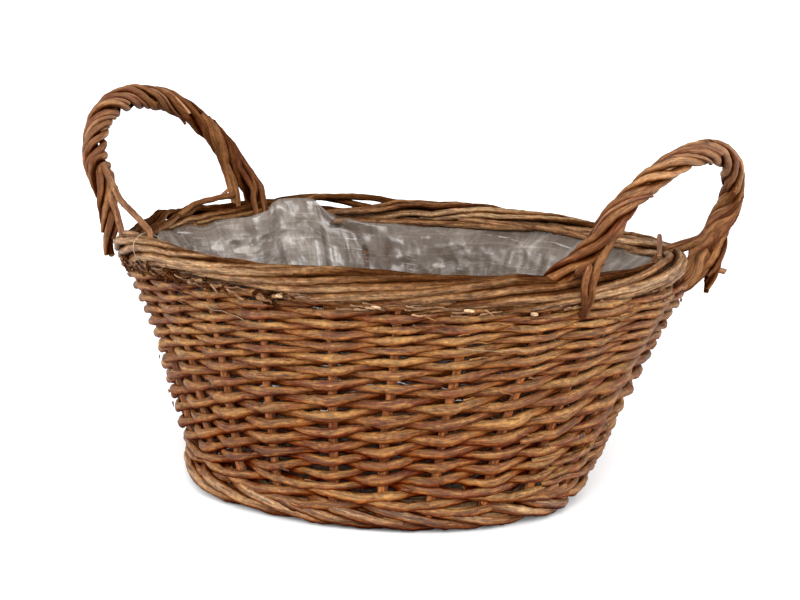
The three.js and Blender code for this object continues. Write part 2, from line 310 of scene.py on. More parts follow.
# ---------------------------------------------------------------- materials
class Nodes:
    def __init__(self, name):
        self.m = bpy.data.materials.new(name)
        self.m.use_nodes = True
        self.t = self.m.node_tree
        self.t.nodes.clear()
        self.out = self.t.nodes.new("ShaderNodeOutputMaterial")

    def add(self, kind, **kw):
        n = self.t.nodes.new("ShaderNode" + kind)
        for k, v in kw.items():
            if k.startswith("in_"):
                continue
            setattr(n, k, v)
        return n

    def link(self, a, b):
        self.t.links.new(a, b)

    def attr(self, name, out="Fac"):
        return self.add("Attribute", attribute_name=name).outputs[out]

    def put(self, sock, v):
        if hasattr(v, "is_linked"):
            self.link(v, sock)
        else:
            sock.default_value = v

    def math(self, op, a, b=None, clamp=False):
        n = self.add("Math", operation=op, use_clamp=clamp)
        self.put(n.inputs[0], a)
        if b is not None:
            self.put(n.inputs[1], b)
        return n.outputs[0]

    def mix(self, f, a, b, mode="MIX"):
        n = self.add("Mix", data_type="RGBA", blend_type=mode)
        n.clamp_factor = True
        self.put(n.inputs[0], f)
        self.put(n.inputs[6], a)
        self.put(n.inputs[7], b)
        return n.outputs[2]

    def scale(self, vec, s):
        n = self.add("Mapping")
        self.link(vec, n.inputs["Vector"])
        n.inputs["Scale"].default_value = s
        return n.outputs[0]

    def noise(self, vec, scale=1.0, detail=4.0, rough=0.55, dist=0.0):
        n = self.add("TexNoise")
        self.link(vec, n.inputs["Vector"])
        n.inputs["Scale"].default_value = scale
        n.inputs["Detail"].default_value = detail
        n.inputs["Roughness"].default_value = rough
        n.inputs["Distortion"].default_value = dist
        return n.outputs["Fac"]

    def ramp(self, f, stops, mode="LINEAR"):
        n = self.add("ValToRGB")
        cr = n.color_ramp
        cr.interpolation = mode
        while len(cr.elements) > 1:
            cr.elements.remove(cr.elements[-1])
        for i, (p, c) in enumerate(stops):
            e = cr.elements[0] if i == 0 else cr.elements.new(p)
            e.position = p
            e.color = tuple(c) + (1,) if len(c) == 3 else tuple(c)
        self.put(n.inputs[0], f)
        return n.outputs[0]

    def smoothstep(self, x, lo, hi):
        n = self.add("MapRange", interpolation_type="SMOOTHSTEP")
        self.put(n.inputs[0], x)
        n.inputs[1].default_value, n.inputs[2].default_value = lo, hi
        n.inputs[3].default_value, n.inputs[4].default_value = 0.0, 1.0
        return n.outputs[0]


def lin(r, g, b):
    f = lambda c: c / 12.92 if c <= 0.04045 else ((c + 0.055) / 1.055) ** 2.4
    return tuple(f(c / 255) for c in (r, g, b))


def willow(name, tan, brown, red, grey, dark, peel=0.5, bump=0.8, warm=(0.45, 1.10, 1.75), weather=0.60, grain=1.0):
    """Dried willow with its bark on: long streaks, blotches, specks, knots, worn pale patches, pale cut ends, and
    painted shade from the shade attribute.
    """
    n = Nodes(name)
    co = n.attr("rodco", "Vector")
    rnd, tone, knot, cut, shade = n.attr("rnd"), n.attr("tone"), n.attr("knot"), n.attr("cut"), n.attr("shade")
    streak = n.noise(n.scale(co, (60, 1150, 1150)), 1, 5, 0.62, 0.2)
    streak2 = n.noise(n.scale(co, (42, 470, 470)), 1, 3, 0.6, 0.3)
    fine = n.noise(n.scale(co, (170, 3000, 3000)), 1, 4, 0.65)
    blotch = n.noise(n.scale(co, (30, 190, 190)), 1, 4, 0.62, 0.5)
    blotch2 = n.noise(n.scale(co, (75, 420, 420)), 1, 5, 0.64, 0.8)
    speck = n.noise(n.scale(co, (480, 1200, 1200)), 1, 2, 0.5)
    mottle = n.noise(n.scale(co, (300, 620, 620)), 1, 3, 0.6, 0.4)
    pale = tuple(min(1, c * 1.4) for c in tan)
    # colour of the rod as a whole
    whole = n.math("ADD", n.math("MULTIPLY", rnd, 0.30), n.math("ADD", n.math("MULTIPLY", blotch, 1.25), tone))
    col = n.ramp(n.math("SUBTRACT", whole, 0.32), [(0.0, dark), (0.18, red), (0.42, brown), (0.66, tan), (1.0, pale)])
    # long streaks, light and dark
    col = n.mix(n.math("MULTIPLY", n.smoothstep(streak, 0.50, 0.64), 0.60 * grain), col, pale + (1,))
    col = n.mix(n.math("MULTIPLY", n.smoothstep(streak, 0.49, 0.34), 0.75 * grain), col, dark + (1,))
    col = n.mix(n.math("MULTIPLY", n.smoothstep(streak2, 0.52, 0.64), 0.55 * grain), col, pale + (1,))
    col = n.mix(n.math("MULTIPLY", n.smoothstep(streak2, 0.48, 0.36), 0.60 * grain), col, dark + (1,))
    # grey-green weathering and red bark
    col = n.mix(n.math("MULTIPLY", n.smoothstep(blotch2, 0.53, 0.64), weather), col, grey + (1,))
    col = n.mix(n.math("MULTIPLY", n.smoothstep(blotch2, 0.47, 0.36), 0.60), col, red + (1,))
    # worn or peeled patches
    worn = n.math("MULTIPLY", n.smoothstep(n.math("ADD", n.math("MULTIPLY", blotch, 0.6), n.math("MULTIPLY", fine, 0.4)), 0.56, 0.62), peel)
    col = n.mix(worn, col, pale + (1,))
    # specks, knots
    col = n.mix(n.math("MULTIPLY", n.smoothstep(speck, 0.62, 0.72), 0.7), col, tuple(c * 0.5 for c in dark) + (1,))
    col = n.mix(n.math("MULTIPLY", n.smoothstep(knot, 0.25, 0.85), 0.62), col, tuple(c * 0.8 for c in dark) + (1,))
    fine_c = n.math("MULTIPLY", n.math("ADD", n.math("MULTIPLY", fine, 1.2), 0.4), n.math("ADD", n.math("MULTIPLY", mottle, 2.1 * grain), 1 - 1.05 * grain))
    col = n.mix(1.0, col, fine_c, "MULTIPLY")
    # cut ends: pale wood with a dark pith
    d = n.add("VectorMath", operation="LENGTH")
    yz = n.scale(co, (0, 1, 1))
    n.link(yz, d.inputs[0])
    endc = n.ramp(n.math("MULTIPLY", d.outputs["Value"], 340.0), [(0.0, lin(52, 32, 20)), (0.16, lin(122, 88, 54)), (0.8, lin(146, 108, 70)), (1.0, lin(60, 38, 24))])
    endc = n.mix(1.0, endc, fine_c, "MULTIPLY")
    col = n.mix(cut, col, endc)
    # painted shade: the shade attribute darkens crevices, undersides and hidden parts towards a warm brown
    painted_shade_tint = n.add("CombineColor")
    for sock, power in zip(painted_shade_tint.inputs, warm):
        n.link(n.math("POWER", shade, power), sock)
    col = n.mix(1.0, col, painted_shade_tint.outputs[0], "MULTIPLY")
    b = n.add("BsdfPrincipled")
    n.link(col, b.inputs["Base Color"])
    rough = n.math("ADD", n.math("MULTIPLY", streak, 0.25), n.math("ADD", n.math("MULTIPLY", worn, 0.12), 0.42))
    n.link(rough, b.inputs["Roughness"])
    # the specular fades in the painted shade
    n.link(n.math("MULTIPLY", n.math("POWER", shade, 2.0), 0.30), b.inputs["Specular IOR Level"])
    h = n.math("ADD", n.math("MULTIPLY", streak, 0.9), n.math("ADD", n.math("MULTIPLY", fine, 0.4), n.math("MULTIPLY", blotch2, 0.7)))
    bp = n.add("Bump")
    bp.inputs["Strength"].default_value = bump
    bp.inputs["Distance"].default_value = 0.0008
    n.link(h, bp.inputs["Height"])
    n.link(bp.outputs[0], b.inputs["Normal"])
    n.link(b.outputs[0], n.out.inputs[0])
    return n.m


TAN, BROWN, RED, GREY, DARK = lin(127, 92, 49), lin(101, 62, 27), lin(91, 43, 18), lin(97, 75, 41), lin(56, 24, 7)
M_WEAVE = willow("willow_weaver_bark", TAN, BROWN, RED, GREY, DARK)
M_STAKE = willow("willow_stake_bark", lin(146, 93, 51), lin(114, 64, 33), lin(97, 47, 23), lin(106, 75, 46), lin(48, 21, 8))
M_BORDER = willow("willow_border_bark", lin(152, 122, 89), lin(124, 91, 61), lin(107, 68, 42), lin(118, 99, 73), lin(52, 28, 14), warm=(0.80, 1.06, 1.34), weather=0.45)
M_HANDLE = willow("willow_handle_bark", lin(143, 106, 71), lin(110, 71, 42), lin(94, 50, 28), lin(104, 81, 55), lin(43, 18, 6), warm=(0.80, 1.10, 1.45), grain=0.6, bump=0.5)
M_FOOT = willow("willow_foot_bark", lin(136, 102, 67), lin(105, 67, 37), lin(86, 44, 21), lin(99, 77, 48), lin(40, 16, 5), warm=(0.62, 1.15, 1.75))
M_BASE = willow("willow_base_bark", lin(146, 108, 68), lin(114, 78, 47), lin(94, 59, 37), lin(104, 84, 58), lin(46, 28, 18), peel=0.7)


def film_material():
    """Thin clear film: a grey veil with soft folds and pale creases, painted glint lines and painted shade on its lower
    part, shiny.
    """
    n = Nodes("clear_film")
    co = n.attr("filmco", "Vector")
    crease_and_glint = n.attr("crease_and_glint")
    c1 = n.noise(n.scale(co, (40, 4.0, 1)), 1, 3, 0.5, 1.6)
    c2 = n.noise(n.scale(co, (16, 8, 1)), 1, 4, 0.55, 1.2)
    c3 = n.noise(n.scale(co, (150, 9, 1)), 1, 3, 0.55, 0.6)
    line = n.math("SUBTRACT", 1.0, n.math("ABSOLUTE", n.math("MULTIPLY", n.math("SUBTRACT", c1, 0.52), 16.0)), clamp=True)
    line2 = n.math("SUBTRACT", 1.0, n.math("ABSOLUTE", n.math("MULTIPLY", n.math("SUBTRACT", c3, 0.56), 14.0)), clamp=True)
    c4 = n.noise(n.scale(co, (9, 85, 1)), 1, 3, 0.55, 0.8)
    bent = n.add("TexNoise")
    n.link(n.scale(co, (22, 9, 1)), bent.inputs["Vector"])
    bent.inputs["Scale"].default_value = 1.0
    bent.inputs["Detail"].default_value = 3.0
    where = n.add("VectorMath", operation="MULTIPLY_ADD")
    n.link(bent.outputs["Color"], where.inputs[0])
    where.inputs[1].default_value = (1.7, 1.7, 0.0)
    n.link(n.scale(co, (30, 12, 1)), where.inputs[2])
    cells = n.add("TexVoronoi", feature="F1", voronoi_dimensions="2D")
    rims = n.add("TexVoronoi", feature="DISTANCE_TO_EDGE", voronoi_dimensions="2D")
    for t in (cells, rims):
        n.link(where.outputs[0], t.inputs["Vector"])
        t.inputs["Scale"].default_value = 1.0
    pick = n.add("SeparateColor")
    n.link(cells.outputs["Color"], pick.inputs[0])
    panel, fold = pick.outputs[0], n.smoothstep(rims.outputs["Distance"], 0.09, 0.0)
    veil = n.math("ADD", n.math("MULTIPLY", n.smoothstep(c2, 0.30, 0.70), 0.15), n.math("ADD", n.math("MULTIPLY", line, 0.12), n.math("ADD", n.math("MULTIPLY", line2, 0.08), n.math("MULTIPLY", n.smoothstep(crease_and_glint, 0.5, 1.3), 0.42))))
    veil = n.math("ADD", veil, n.math("ADD", n.math("MULTIPLY", panel, 0.21), n.math("ADD", n.math("MULTIPLY", fold, 0.13), n.math("MULTIPLY", n.smoothstep(c4, 0.52, 0.68), 0.16))), clamp=True)
    sep = n.add("SeparateXYZ")
    n.link(co, sep.inputs[0])
    rim = n.smoothstep(sep.outputs[1], 0.58, 0.84)
    b = n.add("BsdfPrincipled")
    col = n.ramp(veil, [(0.0, lin(82, 69, 59)), (0.5, lin(118, 108, 100)), (1.0, lin(166, 159, 150))])
    # painted shade: lower down, the film is darkened to a warm brown
    col = n.mix(rim, n.mix(1.0, col, (0.26, 0.19, 0.13, 1), "MULTIPLY"), col)
    n.link(col, b.inputs["Base Color"])
    alpha = n.math("ADD", n.math("MULTIPLY", veil, 0.34), n.math("ADD", n.math("MULTIPLY", n.smoothstep(crease_and_glint, 0.25, 0.85), 0.14), n.math("ADD", n.math("MULTIPLY", rim, 0.36), 0.11)), clamp=True)
    alpha = n.math("MULTIPLY", alpha, n.math("SUBTRACT", 1.0, n.math("MULTIPLY", n.smoothstep(crease_and_glint, -0.9, -2.1), 0.85)))
    n.link(alpha, b.inputs["Alpha"])
    b.inputs["Roughness"].default_value = 0.28
    b.inputs["Specular IOR Level"].default_value = 0.42
    h = n.math("ADD", n.math("MULTIPLY", c1, 1.0), n.math("ADD", n.math("MULTIPLY", c2, 0.6), n.math("MULTIPLY", c3, 0.25)))
    bp = n.add("Bump")
    bp.inputs["Strength"].default_value = 0.28
    bp.inputs["Distance"].default_value = 0.003
    n.link(h, bp.inputs["Height"])
    n.link(bp.outputs[0], b.inputs["Normal"])
    n.link(b.outputs[0], n.out.inputs[0])
    return n.m


def thread_material():
    n = Nodes("pale_thread")
    geo = n.add("TexCoord").outputs["Object"]
    w = n.noise(n.scale(geo, (1800, 1800, 1800)), 1, 3)
    b = n.add("BsdfPrincipled")
    n.link(n.ramp(w, [(0.3, lin(104, 88, 68)), (0.7, lin(156, 142, 118))]), b.inputs["Base Color"])
    b.inputs["Roughness"].default_value = 0.5
    n.link(b.outputs[0], n.out.inputs[0])
    return n.m


M_FILM, M_THREAD = film_material(), thread_material()

# ---------------------------------------------------------------- camera
AZ, EL, ROLL = math.radians(36.38), math.radians(9.95), math.radians(1.38)
EYE = np.array([0.724, -0.971, 0.334])
F_PX = 1884.0
fw = np.array([-math.sin(AZ) * math.cos(EL), math.cos(AZ) * math.cos(EL), -math.sin(EL)])
rt = np.array([math.cos(AZ), math.sin(AZ), 0.0])
up = np.cross(rt, fw)
r2, u2 = rt * math.cos(ROLL) + up * math.sin(ROLL), -rt * math.sin(ROLL) + up * math.cos(ROLL)
cam_data = bpy.data.cameras.new("camera")
cam_data.sensor_fit = "HORIZONTAL"
cam_data.sensor_width = 36.0
cam_data.lens = 36.0 * F_PX / 800.0
cam_data.clip_start, cam_data.clip_end = 0.05, 200
cam = bpy.data.objects.new("camera", cam_data)
bpy.context.scene.collection.objects.link(cam)
m = Matrix.Identity(4)
for k in range(3):
    m[k][0], m[k][1], m[k][2], m[k][3] = r2[k], u2[k], -fw[k], EYE[k]
cam.matrix_world = m
bpy.context.scene.camera = cam

# ---------------------------------------------------------------- uprights
PER = 16                       # steps between two uprights
LEAN = {19: 0.13, 20: 0.05, 21: -0.03, 22: -0.03, 23: -0.13, 0: -0.08, 16: 0.05}
_g = rand(7)
_du = np.array([LEAN.get(j, _g.normal(0, 0.04)) for j in range(STAKES)])
_grid = np.arange(-1, STAKES + 2)


def warp(u):
    """Uprights stand a little off their even places, and the weaving follows them."""
    w = np.floor(u)
    i = w.astype(int)
    f = u - w
    f = f * f * (3 - 2 * f)
    return u + _du[i % STAKES] * (1 - f) + _du[(i + 1) % STAKES] * f


stake_r = []
for j in range(STAKES):
    g = rand(100 + j)
    r0 = 2.75 * g.uniform(0.92, 1.06)
    stake_r.append(r0)
    z = np.linspace(12.0, 151.0, 64)
    top = np.clip((z - 100) / 50, 0, 1)
    P = woven(j + _du[j] * (1 - top) + 0.02 * wobble(g, z, 120), z, 0.0)
    b = Bundle("stake_%02d_rod" % (j + 1))
    b.rod(P, r0 * (1.04 - 0.12 * (z - 12) / 139), 200 + j, sides=10, jitter=0.25)
    b.make(M_STAKE, "willow_stake", "stake_%02d" % (j + 1))

# ---------------------------------------------------------------- wall weaving
# Heights and spacing of the rows at an upright: finer and closer towards the top.
UG = np.arange(0, STAKES * PER + 1) / PER          # upright coordinate round the wall
FG = UG / STAKES
PITCH_Z = [30, 48, 58, 66, 74, 82, 90, 100, 110, 120, 150]
PITCH_D = [4.7, 4.6, 4.8, 5.1, 5.2, 5.0, 4.55, 4.0, 3.7, 3.55, 3.45]
rows = [(16.2 + 5.2 * i, 5.4) for i in range(3)]
z = rows[-1][0] + 5.0
while z < 148.6:
    d = float(np.interp(z, PITCH_Z, PITCH_D))
    rows.append((z, d))
    z += d
NR = len(rows)
g = rand(11)
# slow waves that neighbouring rounds share
lift = sum(np.sin(TAU * (FG[None, :] * w + g.uniform())) * np.sin(np.arange(NR)[:, None] * g.uniform(0.15, 0.5) + g.uniform(0, TAU)) * a
           for w, a in ((2, 0.9), (3, 0.8), (5, 0.6), (7, 0.55), (11, 0.4)))
ends = np.minimum(1, np.minimum(np.arange(NR), NR - 1 - np.arange(NR)) / 4.0)[:, None]
lift = lift * ends
# at the right-hand end the upper rows climb faster
lift = lift + 8.0 * np.interp(UG, [0, 0.6, 3.5, 20.6, 22.0, 23.8, 24], [1, 1, 0, 0, 0.3, 1, 1])[None, :] * np.interp([r[0] for r in rows], [60, 100, 128, 150], [0, 1, 0.8, 0.15])[:, None]
g = rand(17)
STAIN = [(int(g.integers(2, 13)) * int(g.choice([-1, 1])), g.uniform(4, 11), g.uniform(0, TAU)) for _ in range(9)]


def stain(u, z):
    """Patches of darker, redder bark that neighbouring rods share."""
    w = sum(np.sin(a * u * TAU / STAKES + z / c + b) for a, c, b in STAIN) / 2.1
    return -0.20 * np.clip(w - 0.55, 0, 1.4)


def tri(x, k):
    """Wave that runs straight between its turns; k near 1 makes the turns sharp."""
    return np.arcsin(k * np.cos(x)) / math.asin(k)


bundles = {}
# the first rounds: a wale, each rod in front of two uprights and behind one
for k, (zk, d) in enumerate([(15.8 + 4.15 * i, 4.7) for i in range(4)]):
    b = bundles.setdefault("upsett_wale", Bundle("upsett_wale_rods"))
    g = rand(300 + k)
    first = 3 * int(g.integers(0, 8)) + 2 - k
    for i, (s, e) in enumerate(((first, first + 12), (first + 12, first + 24))):
        u = np.arange(s - 0.42, e + 0.42 + 1e-6, 1.0 / PER)
        q = (u - u[0]) / (u[-1] - u[0])
        z = zk + np.interp((u % STAKES) * PER, np.arange(len(UG)), lift[min(k, 2)])
        ph = (u + k) % 3.0
        c = 1 - 2.0 * np.exp(-((ph - 2.0) / 0.62) ** 2)
        v = 1 - 2 * np.abs(((ph + 1.0) % 3.0) / 3.0 - 0.5) * 2
        r = 0.55 * d * g.uniform(0.92, 1.06) * (1.05 - 0.14 * q)
        n = (2.2 + r * 0.90) * (1 + 0.07 * wobble(g, u, 5.0)) * c * 0.96
        n = n - 1.6 * np.clip(1 - np.minimum(u - u[0], u[-1] - u) / 0.7, 0, 1)
        z = z - 2.4 * v + 0.5
        # painted shade: darker where a rod passes behind the uprights, on its underside and in the grooves facing into
        # the wall
        b.rod(woven(warp(u), z, n), r, 1000 + 40 * k + i, sides=12, tone=g.normal(0, 0.06), jitter=0.25, lump=0.12, tall=1.08,
              shade=0.14 + 0.82 * np.clip((n + 3.2) / 5.2, 0, 1), under=0.5, out=outward(u, z, 0.5), groove=(0.18, -0.10, 0.92), back=0.9)
# the wall: one rod starts at every upright and all climb together, one row for each upright passed,
# in front of one and behind the next; they are thick at the bottom and thin at the top
ZR, DR, KR = np.array([r[0] for r in rows]), np.array([r[1] for r in rows]), np.arange(NR)
COURSES = [0, 4, 8, 12, 16, 20, 24, NR - 4]
for i in range(STAKES):
    g = rand(340 + i)
    hue, tone, fat = g.uniform(), g.normal(0, 0.06), 1 + g.normal(0, 0.06)
    for m in range(7):
        name = "randing_course_%d" % (m + 1)
        b = bundles.setdefault(name, Bundle(name + "_rods"))
        row = np.arange(3 + COURSES[m] - 0.42, 3 + COURSES[m + 1] + 0.42 + 1e-6, 1.0 / PER)
        u = i + row - 3
        k0 = np.clip(np.floor(row).astype(int), 0, NR - 2)
        col = (u % STAKES) * PER
        c0 = np.floor(col).astype(int)
        fr, fc = np.clip(row - k0, 0, 1), col - c0
        sway = (lift[k0, c0] * (1 - fc) + lift[k0, c0 + 1] * fc) * (1 - fr) + (lift[k0 + 1, c0] * (1 - fc) + lift[k0 + 1, c0 + 1] * fc) * fr
        d = np.interp(row, KR, DR)
        z = np.interp(row, KR, ZR) + sway
        low = np.clip((95 - z) / 60, 0, 1)
        x = np.pi * (row - 2)
        bulge = np.abs(np.cos(x)) ** 1.5
        r = d * (0.51 - 0.03 * low + 0.05 * bulge) * fat * (1 + 0.05 * wobble(g, u, 6.0))
        amp = (2.45 + d * 0.44) * (1 + 0.09 * wobble(g, u, 5.0))
        n = amp * tri(x, 0.90)
        z = z - (0.17 + 0.30 * low) * amp * tri(x, 0.97) + 0.3 * wobble(g, u, 2.3)
        head, tail = np.clip(1 - (row - row[0]) / 0.7, 0, 1), np.clip(1 - (row[-1] - row) / 0.7, 0, 1)
        n = n - 1.6 * (head + tail)
        z = z + 0.25 * d * (tail - head)
        # painted shade: darker where a rod passes behind the uprights, much more so low down, darker towards the bottom
        # and a little near upright 19, on the underside and in the grooves between rows
        b.rod(woven(warp(u), z, n), r, 1200 + 10 * i + m, sides=12, tone=tone + g.normal(0, 0.02) + stain(u, z), jitter=0.25, lump=0.12, tall=1 + (0.27 - 0.06 * low) * bulge,
              shade=(1 - np.interp(z, [20, 45, 70], [0.90, 0.84, 0.46]) * (1 - np.clip((n + 3.2) / 5.2, 0, 1))) * np.interp(z, [20, 45, 70, 105], [0.92, 0.93, 0.95, 1.0]) * (1 - 0.05 * near(u, 19.3, 2.4)), under=0.38 if m < 2 else 0.25, out=outward(u, z, 0.5), groove=(0.22, -0.12, 0.90) if m < 2 else (0.36, -0.30, 0.80), hue=hue, back=0.95)
# loose strips of bark and short ends that stand out of the weave
for k, (zk, d) in enumerate(rows):
    b = bundles["upsett_wale" if k < 3 else "randing_course_%d" % (1 + min(6, (k - 3) // 4))]
    g = rand(700 + k)
    for i in range(int(g.integers(4, 8)) + (10 if k > NR - 5 else 0)):
        u0, ln = g.uniform(0, STAKES), g.uniform(0.10, 0.32)
        q = np.linspace(0, 1, 7)
        zz = zk + g.uniform(-1.5, 1.5) + g.normal(0, 1.6) * q + 0.3 * wobble(g, q, 0.9)
        nn = d * 0.44 + 3.6 + g.uniform(0.0, 1.2) + g.uniform(-0.5, 1.0) * q ** 2
        P = smooth(woven(u0 + ln * q, zz, nn), 1.5)
        b.rod(P, g.uniform(0.35, 0.8) * (1.15 - 0.7 * np.linspace(0, 1, len(P))), 60000 + 100 * k + i, sides=5, knots=0, tone=g.choice([-0.35, -0.25, -0.1]), jitter=0.25)
# rods joined in at the lower right, with their cut ends showing
for i in range(22):
    g = rand(900 + i)
    u0, ln, z0 = 22.3 + 2.9 * g.uniform(), g.uniform(0.30, 0.65), g.uniform(19, 64)
    k = int(np.argmin(np.abs(ZR - z0)))
    b = bundles["upsett_wale" if k < 3 else "randing_course_%d" % (1 + min(6, (k - 3) // 4))]
    q = np.linspace(0, 1, 9)
    P = smooth(woven(u0 + ln * q, z0 + g.uniform(2.0, 5.0) * q, 2.6 + 3.4 * np.sin(np.pi * np.clip(q * g.uniform(0.55, 0.9), 0, 1)) + 1.4 * q ** 3), 1.6)
    b.rod(P, g.uniform(1.5, 2.2) * (1.05 - 0.2 * np.linspace(0, 1, len(P))), 930 + i, sides=9, knots=0.8, tone=g.normal(-0.08, 0.12), jitter=0.2, slant=(0, 0.6), under=0.4)
for name, b in bundles.items():
    b.make(M_WEAVE, "willow_weaver", name)

# ---------------------------------------------------------------- top border
# The tops of the uprights are laid down to the right, one over the other, rolling from the outside over the top to the inside.
SPAN = 7.2
SLOTS = [(8.64, 0.85, 166.0, 2.6), (6.5, 0.50, 160.4, 1.3), (7.48, 0.30, 157.0, 1.0), (12.0, 0.22, 163.6, 1.8), (11.3, 0.18, 163.2, 1.6)]
KEY_Q = np.array([0, 0.05, 0.139, 0.278, 0.417, 0.556, 0.694, 0.833, 0.94, 1.0])
KEY_N = np.array([0.0, 1.6, 5.8, 7.6, 6.4, 1.8, -3.8, -7.2, -6.0, -3.6])
KEY_Z = np.array([146.0, 149.6, 152.8, 158.4, 163.9, 168.0, 167.2, 163.0, 160.2, 158.6])


def hang(u):
    """How far the whole border hangs down along the front."""
    return np.interp(np.asarray(u, float) % STAKES, [13.0, 14.0, 15.2, 16.0, 16.6, 17.4, 18.2, 18.9, 20.0, 21.3, 22.0, 22.6, 23.0],
                     [0.8, 6.6, 3.2, -1.5, -2.5, -1.5, 1.0, 3.5, 4.2, 4.2, 2.0, 0.5, 0])


def dip(u, z):
    """The border lies lower between the legs of each handle and is thinner at the front left."""
    low = np.interp(np.asarray(u, float) % STAKES, [0, 0.6, 1.6, 2.6, 3.6, 4.6, 9.6, 10.2, 10.6, 11.5, 12.0, 12.5, 13.0, 13.4, 13.9, 14.5, 15.2, 15.9, 16.5, 17.4, 18.2, 19.0, 20.0, 21.4, 21.95, 22.5, 23.2, 23.8, 24],
                    [1, 1, 2, 3.2, 3.2, 0.8, 0.8, 4.2, 5.6, 5.6, 6.6, 9.0, 11.5, 10, 6, 2.0, 1.8, 6.0, 9.0, 8.0, 5.0, 1.5, 0.5, 0, 4.0, 4.5, 4.0, 2.0, 1])
    return z - low * np.clip((z - 149) / 16, 0, 1) - hang(u)


def open_slots(u, n, z):
    """Gaps where the border's rods stand apart."""
    for uc, hw, zs, amp in SLOTS:
        du = (u - uc + 12) % 24 - 12
        z = z + amp * np.exp(-(du / hw) ** 4) * np.tanh((z + n * 0.17 - zs) / 1.2)
    return z


borders = [Bundle("border_rods_" + w) for w in ("outer", "inner", "top")]
for j in range(STAKES):
    g = rand(2000 + j)
    span = SPAN * g.uniform(0.90, 1.10)
    Q = np.linspace(0, 1, 150)
    u = j + span * Q
    n = np.interp(Q, KEY_Q, KEY_N)
    z = np.interp(Q, KEY_Q, KEY_Z)
    ker = np.hanning(17)
    ker /= ker.sum()
    n = np.convolve(np.pad(n, 8, mode="edge"), ker, "valid")
    z = np.convolve(np.pad(z, 8, mode="edge"), ker, "valid")
    n = n + 0.6 * wobble(g, u, 5.0, 2)
    z = z + (0.6 + 0.5 * np.clip((0.55 - Q) / 0.2, 0, 1)) * wobble(g, u, 4.4, 2)
    n = n + 3.0 * near(u, 13.7, 0.9) + 1.5 * near(u, 14.0, 1.0) * np.clip((156 - z) / 7, 0, 1)
    z = dip(u, open_slots(u, n, z))
    r = (3.15 - 0.85 * Q) * g.uniform(0.80, 1.12) * (1 - 0.18 * near(u, 16.7, 1.3))
    P = smooth(wall(u, z, n), 2.2)
    # painted shade: the top and inner parts of the border rods are darker, more so at the far left and the back, with
    # painted shade on the undersides and in the grooves between rods
    borders[j % 3].rod(P, np.interp(np.linspace(0, 1, len(P)), Q, r), 2100 + j, sides=12, jitter=0.14, lump=0.05, tone=g.normal(0.0, 0.09) + np.interp(np.linspace(0, 1, len(P)), Q, 0.05 * near(u, 23.6, 1.5) - 0.07 * near(u, 14.8, 1.4)),
                       shade=np.interp(np.linspace(0, 1, len(P)), [0, 0.22, 0.42, 0.55, 0.7, 1], [1, 1, 0.86, 0.70, 0.80, 0.92]) * np.interp(np.linspace(0, 1, len(P)), Q, 1 - 0.42 * near(u, 10.7, 0.9) * (Q > 0.3) - 0.25 * near(u, 8.1, 0.6) * (Q > 0.5)), under=0.3,
                       out=P - np.stack([np.interp(np.linspace(0, 1, len(P)), Q, c) for c in wall(u, z * 0.25 + 119.0, 0.0).T], -1), groove=(0.16, 0.25, 0.97))
# shorter rods laid in the core of the border, darkened with painted shade
for j in range(STAKES):
    g = rand(2300 + j)
    Q = np.linspace(0, 1, 70)
    u = j + 0.5 + 3.4 * g.uniform(0.9, 1.1) * Q
    for k, (n0, z0) in enumerate(((1.2, 159.0), (-1.2, 154.4), (3.6, 152.6))):
        n = n0 + 0.9 * wobble(g, u, 4.0, 2)
        z = z0 + 2.6 * Q - 0.6 + 0.6 * wobble(g, u, 4.0, 2)
        z = dip(u, open_slots(u, n, z))
        borders[(j + k) % 3].rod(smooth(wall(u, z, n), 2.6), 2.5 * g.uniform(0.92, 1.08), 2400 + 40 * k + j, sides=9, shade=0.6, under=0.5)
# long rods laid along the inside of the border at the back, darkened with painted shade
for i, (pts, rad) in enumerate((([(9.40, 154.5, -5.0), (8.90, 152.6, -7.4), (8.35, 152.8, -8.0), (7.80, 153.6, -8.0), (7.30, 154.2, -8.0), (6.76, 154.8, -8.0), (6.20, 155.4, -8.0), (5.60, 157.0, -8.0), (5.0, 159.5, -7.2), (4.40, 161.5, -6.0)], 2.6),
                                ([(6.60, 158.4, -6.2), (5.90, 158.6, -7.8), (5.20, 159.2, -8.2), (4.50, 159.0, -8.2), (3.90, 158.0, -8.0), (3.20, 157.4, -7.2), (2.60, 158.0, -5.6)], 2.3))):
    P = smooth(np.array([wall(*p) for p in pts]), 2.2)
    borders[1].rod(P, rad * (1.08 - 0.25 * np.linspace(0, 1, len(P))), 2570 + i, sides=12, jitter=0.14, lump=0.05, tone=0.02, shade=0.66, under=0.5,
                   out=P - np.array([wall(u, 160.0, 0.0) for u in np.interp(np.linspace(0, 1, len(P)), np.linspace(0, 1, len(pts)), [p[0] for p in pts])]), groove=(0.25, -0.3, 0.8))
# fibres of torn bark under the border
for i in range(110):
    g = rand(2600 + i)
    q = np.linspace(0, 1, 9)
    u0, ln = g.uniform(0, STAKES), g.uniform(0.12, 0.40)
    zz = g.uniform(145.0, 151.0) - hang(u0) + g.normal(0, 1.5) * q + 0.35 * wobble(g, q, 0.9)
    nn = g.uniform(6.6, 9.0) + g.uniform(-1.0, 1.2) * q
    borders[i % 3].rod(smooth(wall(u0 + ln * q, zz, nn), 1.5), g.uniform(0.4, 0.95) * (1.1 - 0.6 * np.linspace(0, 1, len(smooth(wall(u0 + ln * q, zz, nn), 1.5)))), 2800 + i, sides=5, knots=0, tone=g.choice([-0.38, -0.28, -0.12]), jitter=0.3)
